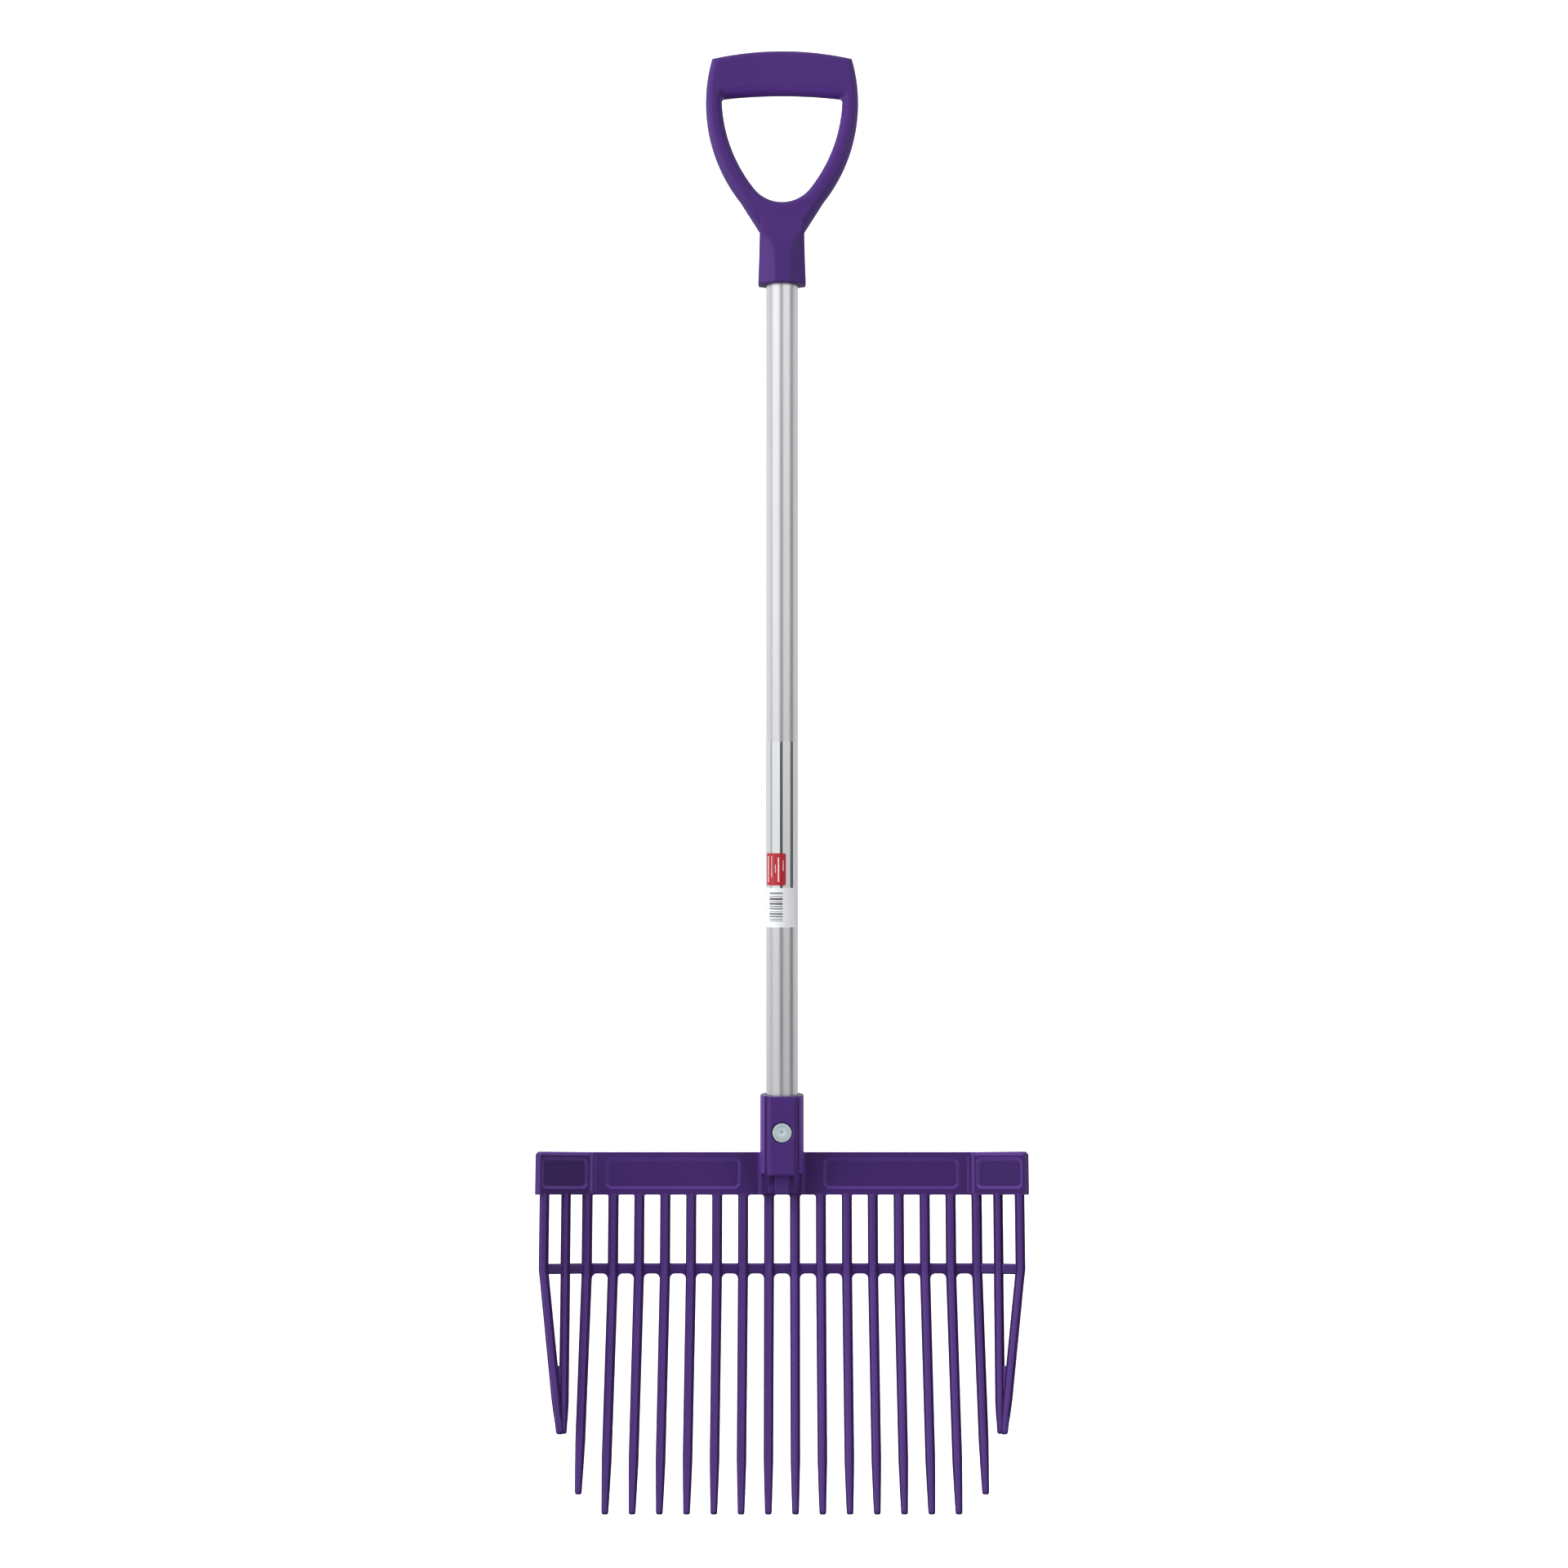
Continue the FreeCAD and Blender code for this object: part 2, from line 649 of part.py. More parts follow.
def make_fork_head():
    straight = straight_tines - 1
    rung = folded_strip(rung_setback, rung_setback + rung_depth, rung_low_z, rung_top_z, rung_end_inset)
    arches = arched_web(rung_low_z - arch_corner, rung_low_z, arch_corner, gap_centres(straight))
    roots = arched_web(crossbar_low_z - root_corner, crossbar_low_z, root_corner, gap_centres(1))
    comb = [pitched(s) for s in [rung, arches, roots, socket_root()] + all_tines()]
    head = pitched(crossbar()).multiFuse(comb + [socket_body()])
    head = one_solid(head.cut(socket_cuts()))
    return head.makeChamfer(counterbore_bevel, counterbore_rim(head))


# Fasteners

def make_head_bolt():
    """A low button head in the counterbore, with a hexagon key recess, and a plain shank."""
    seat_y = -socket_front_pad + counterbore_depth
    top_y = seat_y - bolt_head_height
    cap = cylinder_y(bolt_head_diameter / 2, top_y, seat_y, bolt_z)
    cap = cap.makeChamfer(bolt_head_bevel, [e for e in cap.Edges if e.BoundBox.YMax < top_y + fit_gap])
    shank = cylinder_y(bolt_diameter / 2, seat_y, seat_y + bolt_length, bolt_z)
    point = [e for e in shank.Edges if e.BoundBox.YMin > seat_y + bolt_length - fit_gap]
    shank = shank.makeChamfer(bolt_point_bevel, point)
    key = across(hexagon_face(bolt_key_width), top_y - overrun, top_y + bolt_key_depth)
    key.translate(Vector(0, 0, bolt_z))
    return one_solid(cap.fuse(shank).cut(key))


def nut_seat_y():
    return socket_back_pad - nut_pocket_depth


def make_head_nut():
    """A hexagon nut with a plain collar that holds the locking ring."""
    seat = nut_seat_y()
    body_end = seat + nut_height - nut_collar_height
    body = across(hexagon_face(nut_width), seat, body_end)
    body.translate(Vector(0, 0, bolt_z))
    blank = cylinder_y(nut_width / math.sqrt(3), seat, body_end, bolt_z)
    blank = blank.makeChamfer(nut_bevel, [e for e in blank.Edges if e.BoundBox.YMin > body_end - fit_gap])
    collar = cylinder_y(nut_collar_diameter / 2, body_end, seat + nut_height, bolt_z)
    hole = cylinder_y(bolt_diameter / 2, seat - overrun, seat + nut_height + overrun, bolt_z)
    groove = cylinder_y(nut_ring_diameter / 2, seat + nut_height - nut_ring_height,
                        seat + nut_height + overrun, bolt_z)
    return one_solid(body.common(blank).fuse(collar).cut([hole, groove]))


def make_nut_ring():
    end = nut_seat_y() + nut_height
    ring = cylinder_y(nut_ring_diameter / 2, end - nut_ring_height, end, bolt_z)
    return ring.cut(cylinder_y(bolt_diameter / 2, 0, end + overrun, bolt_z))


def make_grip_screw():
    """A pan-head screw with a cross recess, pointed, through the back of the socket and tube."""
    seat = grip_neck_half_depth - grip_screw_seat
    top = seat + grip_screw_head_height
    cap = cylinder_y(grip_screw_head_diameter / 2, seat, top, grip_screw_z)
    cap = cap.makeChamfer(grip_screw_head_bevel, [e for e in cap.Edges if e.BoundBox.YMin > top - fit_gap])
    point_y = seat - grip_screw_length + grip_screw_point
    shank = cylinder_y(grip_screw_diameter / 2, point_y, seat, grip_screw_z)
    point = Part.makeCone(grip_screw_diameter / 2, 0, grip_screw_point,
                          Vector(0, point_y, grip_screw_z), Vector(0, -1, 0))
    long, wide = grip_screw_slot_length / 2, grip_screw_slot_width / 2
    slots = [box_between(Vector(-a, top - grip_screw_slot_depth, grip_screw_z - b),
                         Vector(a, top + overrun, grip_screw_z + b))
             for a, b in ((long, wide), (wide, long))]
    return one_solid(cap.multiFuse([shank, point]).cut(slots))


# Label

def wrapped_skin(inner_radius, thickness, low_z, high_z, edge_angle, wrap_angle):
    """A thin skin round the tube, from its right edge round the left of the tube."""
    start = 270 + edge_angle - wrap_angle
    outer = Part.makeCylinder(inner_radius + thickness, high_z - low_z, Vector(0, 0, low_z),
                              Vector(0, 0, 1), wrap_angle)
    inner = cylinder_z(inner_radius, low_z - overrun, high_z + overrun)
    outer.rotate(Vector(0, 0, 0), Vector(0, 0, 1), start)
    return outer.cut(inner)


def make_label_film():
    high_z = grip_mouth_z - film_below_grip
    return wrapped_skin(film_radius, film_thickness, high_z - film_height, high_z,
                        film_edge_angle, film_wrap_angle)


def make_sticker():
    low_z = grip_mouth_z - film_below_grip - film_height + sticker_above_edge
    return wrapped_skin(sticker_radius, sticker_thickness, low_z, low_z + sticker_height,
                        sticker_edge_angle, sticker_wrap_angle)


def main():
    os.makedirs("parts", exist_ok=True)
    nodes = {
        "fork_head": make_fork_head(),
        "shaft_tube": make_shaft_tube(),
        "d_grip": make_d_grip(),
        "head_bolt": make_head_bolt(),
        "head_nut": make_head_nut(),
        "nut_locking_ring": make_nut_ring(),
        "grip_screw": make_grip_screw(),
        "label_film": make_label_film(),
        "paper_sticker": make_sticker(),
    }
    for name, shape in nodes.items():
        shape.exportStep("parts/%s.step" % name)
        print(name, "solids", len(shape.Solids), "valid", shape.isValid(), "mm3", round(shape.Volume))


main()
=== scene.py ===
from math import atan2, copysign, cos, hypot, pi, radians, sin, sqrt, tan

import bmesh
import bpy
from bpy.props import FloatProperty, FloatVectorProperty, IntProperty, PointerProperty
from mathutils import Matrix, Vector


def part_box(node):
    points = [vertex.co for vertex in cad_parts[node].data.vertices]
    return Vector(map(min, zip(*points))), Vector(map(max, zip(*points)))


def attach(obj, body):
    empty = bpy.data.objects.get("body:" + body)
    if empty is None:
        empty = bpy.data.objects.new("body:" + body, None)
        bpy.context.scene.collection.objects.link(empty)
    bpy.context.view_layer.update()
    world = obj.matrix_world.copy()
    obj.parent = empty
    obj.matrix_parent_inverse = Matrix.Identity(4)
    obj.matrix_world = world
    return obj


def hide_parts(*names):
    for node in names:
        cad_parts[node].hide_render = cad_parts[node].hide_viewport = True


bl_info = {
    "name": "Bedding fork",
    "version": (1, 0, 0),
    "blender": (4, 5, 0),
    "location": "3D View > Sidebar > Bedding fork",
    "description": "Dresses the packed bedding fork: moulded head and grip, drawn tube, fasteners and label",
    "category": "Object",
}

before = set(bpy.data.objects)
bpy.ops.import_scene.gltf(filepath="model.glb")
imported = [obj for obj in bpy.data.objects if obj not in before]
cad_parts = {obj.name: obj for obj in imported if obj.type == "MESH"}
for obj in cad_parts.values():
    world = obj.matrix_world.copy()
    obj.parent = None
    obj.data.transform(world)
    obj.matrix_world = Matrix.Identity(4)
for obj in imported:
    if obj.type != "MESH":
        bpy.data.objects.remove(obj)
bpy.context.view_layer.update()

# Heights in metres, from the packed model; the origin is under the middle of the grip's bar
RIM_Z = -0.7927                 # rim of the head's socket
SOCKET_END_Z = -0.8543
SOCKET_FLOOR_Z = -0.8497        # where the tube ends in the head
BOLT_Z = -0.8211
CROSSBAR_Z = -0.8554            # middle of the crossbar
NECK_Z = -0.1095                # where the grip's arms meet its socket
MOUTH_Z = -0.1512
GRIP_FLOOR_Z = -0.1132          # where the tube ends in the grip
GRIP_SCREW_Z = -0.1352
FILM_TOP_Z = -0.5131
STICKER_BARS_Z = -0.6322        # top of the sticker's first bar

NEAR = 1e-5                     # places nearer than this count as one
SUNK = 0.0002                   # how deep a joined form starts inside its neighbour
UPRIGHT, LYING = (0, 0, 0), (pi / 2, 0, 0)


def length(name, default, description=""):
    return FloatProperty(name=name, description=description or name + ", in metres", default=default,
                         subtype="DISTANCE", unit="LENGTH", precision=5)


def angle(name, degrees, description):
    return FloatProperty(name=name, description=description, default=radians(degrees),
                         subtype="ANGLE", unit="ROTATION")


def colour(name, default):
    return FloatVectorProperty(name=name, description=name + ", as a linear colour", default=default, size=3,
                               min=0.0, max=1.0, subtype="COLOR")


class HeadSizes(bpy.types.PropertyGroup):
    """Sizes of the moulded head"""
    pitch_angle: angle("Lean", 8.5, "How far the head leans to the front")
    wing_angle: angle("Wing fold", 34.0, "How far each end of the crossbar folds to the front")
    wing_fold: length("Fold start", 0.149, "From the middle of the crossbar to its fold")
    wing_fold_radius: length("Radius of the fold at the crossbar's front", 0.007)
    wing_reach: length("Wing reach", 0.1896, "From the middle to the front corner of the wing's end")
    crossbar_height: length("Height of the crossbar", 0.0337)
    crossbar_depth: length("Depth of the crossbar", 0.0088)
    crossbar_setback: length("Crossbar setback", 0.001, "From the shaft's axis back to the crossbar's front")
    lip: length("Width of the lips behind the crossbar", 0.0026)
    channel_depth: length("Depth of the channel behind the crossbar", 0.0056)
    rib_width: length("Width of a rib in the channel", 0.0022)
    panel_x: length("Panel place", 0.0866, "From the middle to the middle of a panel")
    panel_width: length("Width of a panel's floor", 0.1042)
    wing_panel_width: length("Width of the floor of a wing's panel", 0.0386)
    panel_height: length("Height of a panel's floor", 0.0214)
    panel_depth: length("Depth of a panel", 0.0009)
    rung_drop: length("Rung drop", 0.0535, "From the crossbar's lower edge to the rung")
    rung_height: length("Height of the rung", 0.0082)
    rung_depth: length("Depth of the rung", 0.0056)
    rung_setback: length("Rung setback", 0.002, "From the crossbar's front back to the rung's")
    arch_radius: length("Arch radius", 0.004, "Round corners under the rung")
    root_radius: length("Root radius", 0.0021, "Round corners under the crossbar beside the socket")
    corner_radius: length("Corner radius", 0.0010, "Round corners under the rest of the crossbar")
    tine_pitch: length("Tine pitch", 0.0206, "From one straight tine to the next")
    wing_pitch: length("Wing tine pitch", 0.01615, "From one wing tine to the next, seen from the front")
    tine_width: length("Width of a straight tine", 0.0081)
    wing_tine_width: length("Width of a wing tine", 0.0074)
    tine_depth: length("Depth of a tine", 0.0084)
    tine_round: length("Tine rounding", 0.0029, "Rounding of a tine's front corners")
    tine_bend: angle("Tine bend", 22.6, "How far the tines bend to the front")
    outer_bend: angle("Outer tine bend", 18.9, "How far the outer tines bend to the front")
    tine_length: length("Length of a tine below the bend", 0.191)
    eighth_length: length("Length of the eighth tine below the bend", 0.1755)
    ninth_length: length("Length of the ninth tine below the bend", 0.1276)
    outer_length: length("Length of the outer tine below the bend", 0.1249)
    ninth_inset: length("Ninth inset", 0.0037, "How far the ninth tine's tip lies inwards")
    outer_inset: length("Outer inset", 0.0168, "How far the outer tine's tip lies inwards")
    taper: length("Length of a straight tine's taper", 0.042)
    wing_taper: length("Length of a wing tine's taper", 0.026)
    tip_width: length("Width of a tine's tip", 0.0054)
    web_thickness: length("Thickness of the web between the outer tines", 0.0058)
    straight_tines: IntProperty(name="Straight tines", description="Straight tines on each side",
                                default=8, min=1)


class SocketSizes(bpy.types.PropertyGroup):
    """Sizes of the head's socket"""
    radius: length("Outer radius of the round wall", 0.0173)
    boss_width: length("Width of the flat boss down the front", 0.0196)
    front: length("Front", 0.0188, "From the shaft's axis to the front boss")
    back: length("Back", 0.0206, "From the shaft's axis to the back boss")
    bore: length("Radius of the bore", 0.0128)
    bolt_hole: length("Diameter of the bolt's hole", 0.0085)
    bolt_recess: length("Diameter of the bolt's counterbore", 0.0164)
    bolt_recess_depth: length("Depth of the bolt's counterbore", 0.0034)
    nut_recess: length("Width across the flats of the nut's pocket", 0.0132)
    nut_recess_depth: length("Depth of the nut's pocket", 0.0054)
    foot: length("Height of the apron and the gussets under the socket", 0.0158)
    root_width: length("Width of the root that joins the socket to the crossbar", 0.0394)


class GripSizes(bpy.types.PropertyGroup):
    """Sizes of the D-grip"""
    half_depth: length("Half the depth of the bar and the arms", 0.0134)
    outer_round: length("Width of the rounding round the outside", 0.0058)
    outer_drop: length("Depth of the rounding round the outside", 0.0130)
    window_round: length("Width of the rounding round the window", 0.0056)
    window_drop: length("Depth of the rounding round the window", 0.0120)
    socket_half_depth: length("Half the depth of the grip's socket", 0.0182)
    mouth_half_width: length("Half the width of the socket's mouth", 0.019)
    bore: length("Radius of the bore", 0.0128)
    screw_seat: length("Diameter of the screw's seat", 0.0087)


class ShaftSizes(bpy.types.PropertyGroup):
    """Sizes of the tube, its bolt and its label"""
    tube_radius: length("Outer radius of the tube", 0.0127)
    tube_bore: length("Inner radius of the tube", 0.0112)
    bolt_head: length("Diameter of the bolt's head", 0.015)
    bolt_head_height: length("Height of the bolt's head", 0.0031)
    bolt_shank: length("Diameter of the bolt's shank", 0.008)
    bolt_length: length("Length of the bolt's shank", 0.04)
    film_height: length("Height of the label film", 0.147)
    sheet: length("Thickness of the film and of the sticker", 0.0002)
    sticker_height: length("Height of the paper sticker", 0.0311)


class Finishes(bpy.types.PropertyGroup):
    """Colours of the finishes"""
    plastic: colour("Main tone of the moulded plastic", (0.0500, 0.0190, 0.1270))
    plastic_deep: colour("Darker tone of the moulded plastic", (0.0460, 0.0172, 0.1180))
    aluminium: colour("Tone of the drawn tube", (0.88, 0.89, 0.91))
    zinc: colour("Tone of the zinc plate", (0.53, 0.65, 0.70))
    nylon: colour("Tone of the nut's plastic ring", (0.80, 0.81, 0.83))
    film: colour("Tint of the label film", (0.86, 0.88, 0.90))
    red: colour("Plain block on the label", (0.30, 0.010, 0.016))
    paper: colour("Tone of the paper sticker", (0.56, 0.57, 0.60))
    ink: colour("Tone of the plain bars", (0.05, 0.05, 0.055))
    floor: colour("Tone of the floor and the backdrop", (0.93, 0.93, 0.93))


class StageSettings(bpy.types.PropertyGroup):
    """Camera and floor"""
    distance: length("Camera distance", 2.2, "From the shaft's axis to the camera")
    height: length("Height of the camera", -0.5465)
    floor_z: length("Height of the floor", -1.30)


# Working helpers

def only(piece):
    bpy.ops.object.select_all(action="DESELECT")
    piece.select_set(True)
    bpy.context.view_layer.objects.active = piece


def open_up(piece):
    only(piece)
    bpy.ops.object.mode_set(mode="EDIT")


def begin(name):
    """Names the primitive just added and opens it in edit mode."""
    piece = bpy.context.object
    piece.name = name
    piece.data.name = name
    open_up(piece)
    return piece


def end():
    bpy.ops.object.mode_set(mode="OBJECT")


def pick(kind, test):
    """Selects the vertices, edges or faces of the open mesh that pass a test."""
    mesh = bpy.context.edit_object.data
    bpy.ops.mesh.select_mode(type=kind)
    bpy.ops.mesh.select_all(action="DESELECT")
    work = bmesh.from_edit_mesh(mesh)
    for part in {"VERT": work.verts, "EDGE": work.edges, "FACE": work.faces}[kind]:
        if test(part):
            part.select_set(True)
    work.select_flush_mode()
    bmesh.update_edit_mesh(mesh)


def pick_all():
    bpy.ops.mesh.select_all(action="SELECT")


def selected_ring(piece):
    return [v for v in bmesh.from_edit_mesh(piece.data).verts if v.select]


def middle(part):
    return sum((v.co for v in part.verts), Vector()) / len(part.verts)


def direction(edge):
    return (edge.verts[1].co - edge.verts[0].co).normalized()


def move(value):
    bpy.ops.transform.translate(value=value)


def turn(amount, axis, centre):
    """Turns the selection by the right-hand rule; with no window the operator turns the other way."""
    bpy.ops.transform.rotate(value=-amount, orient_axis=axis, center_override=centre)


def scale(value, centre):
    bpy.ops.transform.resize(value=value, center_override=centre)


def extrude(value):
    bpy.ops.mesh.extrude_region_move(TRANSFORM_OT_translate={"value": value})


def bevel(width, segments=2, affect="EDGES"):
    bpy.ops.mesh.bevel(offset=width, segments=segments, affect=affect, profile=0.5)


def bevel_edges(test, width, segments):
    pick("EDGE", test)
    bevel(width, segments)


def modify(piece, kind, **values):
    """Adds a modifier and applies it."""
    only(piece)
    modifier = piece.modifiers.new(kind.title(), kind)
    for name, value in values.items():
        setattr(modifier, name, value)
    bpy.ops.object.modifier_apply(modifier=modifier.name)


def cut(piece, cutter):
    modify(piece, "BOOLEAN", operation="DIFFERENCE", object=cutter, solver="EXACT")
    bpy.data.objects.remove(cutter)


def cylinder(sides, radius, depth, place=(0, 0, 0), turned=UPRIGHT, ends="NGON"):
    bpy.ops.mesh.primitive_cylinder_add(vertices=sides, radius=radius, depth=depth, location=place,
                                        rotation=turned, end_fill_type=ends)
    return bpy.context.object


def drill(piece, radius, depth, place, turned=LYING, sides=48):
    """Cuts a straight hole, placed by its own middle."""
    cut(piece, cylinder(sides, radius, depth, place, turned))


def soften(piece, width, degrees=32, segments=2):
    modify(piece, "BEVEL", width=width, segments=segments, limit_method="ANGLE",
           angle_limit=radians(degrees), use_clamp_overlap=False, miter_outer="MITER_ARC",
           harden_normals=False)


def settle(piece, matrix=Matrix()):
    """Places a piece and puts its place into its mesh."""
    only(piece)
    piece.matrix_world = matrix @ piece.matrix_world
    bpy.ops.object.transform_apply(location=True, rotation=True, scale=True)
    return piece


def close(piece):
    """Mends the open mesh, leaves edit mode and settles the piece."""
    pick_all()
    bpy.ops.mesh.remove_doubles(threshold=1e-6)
    bpy.ops.mesh.normals_make_consistent(inside=False)
    end()
    return settle(piece)


def smooth(piece, degrees=35):
    """Smooth shading that keeps the large flat faces flat beside their rounded edges."""
    only(piece)
    bpy.ops.object.shade_smooth_by_angle(angle=radians(degrees))
    modify(piece, "WEIGHTED_NORMAL", keep_sharp=True, weight=60)


def copied(piece, offset):
    only(piece)
    bpy.ops.object.duplicate(linked=False)
    other = bpy.context.object
    other.location = other.location + Vector(offset)
    return other


def join(name, pieces):
    bpy.ops.object.select_all(action="DESELECT")
    for piece in pieces:
        piece.select_set(True)
    bpy.context.view_layer.objects.active = pieces[0]
    bpy.ops.object.join()
    joined = bpy.context.object
    joined.name = name
    joined.data.name = name
    return settle(joined)


def block(name, low, high):
    """A cube primitive between two corners, left open in edit mode."""
    low, high = Vector(low), Vector(high)
    bpy.ops.mesh.primitive_cube_add(size=1, location=(low + high) / 2)
    piece = begin(name)
    scale(high - low, (low + high) / 2)
    return piece


def lay(piece, finish):
    """Gives the whole piece one finish."""
    piece.data.materials.clear()
    piece.data.materials.append(bpy.data.materials[finish])
    for face in piece.data.polygons:
        face.material_index = 0


def touch_up(piece, finish, test):
    """Gives the faces that pass a test one more finish."""
    piece.data.materials.append(bpy.data.materials[finish])
    for face in piece.data.polygons:
        if test(face):
            face.material_index = len(piece.data.materials) - 1


def dress(piece, slot, *nodes):
    """Gives a piece its body, the root, and hides the packed nodes that it stands for; the slot is not used.
    """
    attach(piece, "root")
    if nodes:
        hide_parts(*nodes)


# Finishes

def new_finish(name):
    """A new material; the helpers below add nodes beside the shader that this returns."""
    material = bpy.data.materials.new(name)
    material.use_nodes = True
    return material.node_tree.nodes["Principled BSDF"]


def set_inputs(node, values):
    """Sets a node's inputs, and links those whose value is another node's output."""
    for name, value in values.items():
        if isinstance(value, bpy.types.NodeSocket):
            node.id_data.links.new(value, node.inputs[name])
        else:
            node.inputs[name].default_value = value


def new_node(shader, kind, values, **settings):
    node = shader.id_data.nodes.new("ShaderNode" + kind)
    for name, value in settings.items():
        setattr(node, name, value)
    set_inputs(node, values)
    return node


def placed_noise(shader, stretch, size, detail):
    """Noise on the piece's own object coordinates."""
    place = new_node(shader, "TexCoord", {})
    mapping = new_node(shader, "Mapping", {"Vector": place.outputs["Object"], "Scale": stretch})
    values = {"Vector": mapping.outputs["Vector"], "Scale": size, "Detail": detail}
    return new_node(shader, "TexNoise", values).outputs["Fac"]


def spread(shader, source, low, high, start=0.3, stop=0.7):
    """Spreads a range of a value, for a noise its middle range, between two values."""
    values = {"Value": source, "From Min": start, "From Max": stop, "To Min": low, "To Max": high}
    return new_node(shader, "MapRange", values).outputs["Result"]


def by_height(shader, coordinates, low, high, low_tone, high_tone):
    """A value that runs between two tones from one height to another."""
    place = new_node(shader, "TexCoord", {})
    split = new_node(shader, "SeparateXYZ", {"Vector": place.outputs[coordinates]})
    return spread(shader, split.outputs["Z"], low_tone, high_tone, low, high)


def toned(tone, share):
    return [channel * share for channel in tone]


def two_tones(shader, source, first, second):
    values = {"Factor": spread(shader, source, 0, 1), "A": (*first, 1), "B": (*second, 1)}
    return new_node(shader, "Mix", values, data_type="RGBA").outputs["Result"]


def relief(shader, source, strength, distance):
    values = {"Height": source, "Strength": strength, "Distance": distance}
    return new_node(shader, "Bump", values).outputs["Normal"]


def moulded_plastic(tones, name, share, rough, gloss):
    """Satin moulded plastic with faint flow marks and a fine skin."""
    shader = new_finish(name)
    flow = placed_noise(shader, (1, 1, 0.35), 22, 3)
    skin = placed_noise(shader, (1, 1, 1), 1400, 2)
    deep, plain = toned(tones.plastic_deep, share), toned(tones.plastic, share)
    set_inputs(shader, {"Base Color": two_tones(shader, flow, deep, plain),
                        "Roughness": spread(shader, flow, rough, rough + 0.08),
                        "Normal": relief(shader, skin, 0.12, 0.00004),
                        "IOR": 1.49, "Specular IOR Level": gloss})


def drawn_aluminium(tones):
    """Bright drawn tube with draw lines along its length."""
    shader = new_finish("drawn_aluminium")
    lines = placed_noise(shader, (1, 1, 0.006), 2600, 2)
    cloud = placed_noise(shader, (1, 1, 0.2), 30, 3)
    set_inputs(shader, {"Base Color": two_tones(shader, cloud, tones.aluminium, toned(tones.aluminium, 0.95)),
                        "Roughness": spread(shader, lines, 0.27, 0.36),
                        "Normal": relief(shader, lines, 0.10, 0.00002), "Metallic": 1.0})


def zinc_plate(tones):
    """Bright zinc plate with a faint passivated tint."""
    shader = new_finish("zinc_plate")
    tint = placed_noise(shader, (1, 1, 1), 260, 3)
    grain = placed_noise(shader, (1, 1, 1), 2200, 3)
    set_inputs(shader, {"Base Color": two_tones(shader, tint, tones.zinc, (0.66, 0.72, 0.72)),
                        "Roughness": spread(shader, grain, 0.34, 0.56),
                        "Normal": relief(shader, grain, 0.25, 0.00003), "Metallic": 0.6})


def nut_nylon(tones):
    """The nut's plain plastic ring."""
    shader = new_finish("nut_nylon")
    cloud = placed_noise(shader, (1, 1, 1), 500, 2)
    set_inputs(shader, {"Base Color": two_tones(shader, cloud, tones.nylon, toned(tones.nylon, 0.93)),
                        "Roughness": 0.45})


def label_film(tones):
    """Glossy film drawn tight over the bright tube."""
    shader = new_finish("label_film")
    ripple = placed_noise(shader, (1, 1, 0.3), 240, 2)
    set_inputs(shader, {"Roughness": spread(shader, ripple, 0.03, 0.06),
                        "Normal": relief(shader, ripple, 0.04, 0.00003),
                        "Base Color": (*tones.film, 1), "Metallic": 1.0})


def printed(name, first, second, roughness):
    """Print or coated paper, with a faint mottle."""
    shader = new_finish(name)
    mottle = placed_noise(shader, (1, 1, 1), 900, 3)
    set_inputs(shader, {"Base Color": two_tones(shader, mottle, first, second),
                        "Normal": relief(shader, mottle, 0.06, 0.00002), "Roughness": roughness})


def backdrop_paper(tones):
    """The white floor and backdrop, glowing a little."""
    shader = new_finish("backdrop_paper")
    cloud = placed_noise(shader, (1, 1, 1), 1.5, 2)
    set_inputs(shader, {"Base Color": two_tones(shader, cloud, tones.floor, toned(tones.floor, 0.985)),
                        "Emission Color": (1, 1, 1, 1), "Emission Strength": 0.75, "Roughness": 0.9})


class BEDDINGFORK_OT_finishes(bpy.types.Operator):
    """Make the finishes"""
    bl_idname = "beddingfork.finishes"
    bl_label = "Finishes"

    def execute(self, context):
        tones = context.scene.fork_finishes
        # the plastic's finishes: share of its tone, roughness, gloss; the darker panel and wing copies paint
        # shade, the shade copy paints shade on the tines' sides, the lighter edge copy paints highlights, and
        # the lighter under and low copies paint light under the grip's bar
        moulded = {"moulded_plastic": (1, 0.30, 0.18), "moulded_panel_painted_shade": (0.76, 0.34, 0.12),
                   "moulded_shade": (0.50, 0.36, 0.03), "moulded_tine": (1.03, 0.30, 0.25),
                   "moulded_matt": (1, 0.40, 0.05), "moulded_under_painted_light": (1.3, 0.40, 0.03),
                   "moulded_low_painted_light": (1.7, 0.40, 0.0), "moulded_grip": (1, 0.32, 0.12),
                   "moulded_wing_painted_shade": (0.64, 0.36, 0.05), "moulded_painted_highlight": (1.35, 0.30, 0.24)}
        for name, (share, rough, gloss) in moulded.items():
            moulded_plastic(tones, name, share, rough, gloss)
        for finish in (drawn_aluminium, zinc_plate, nut_nylon, label_film, backdrop_paper):
            finish(tones)
        printed("label_red", tones.red, toned(tones.red, 0.85), 0.22)
        printed("label_white", (0.52, 0.38, 0.38), (0.58, 0.46, 0.46), 0.25)
        printed("sticker_paper", tones.paper, toned(tones.paper, 0.95), 0.5)
        printed("sticker_ink", tones.ink, toned(tones.ink, 1.4), 0.5)
        return {"FINISHED"}


# Outlines

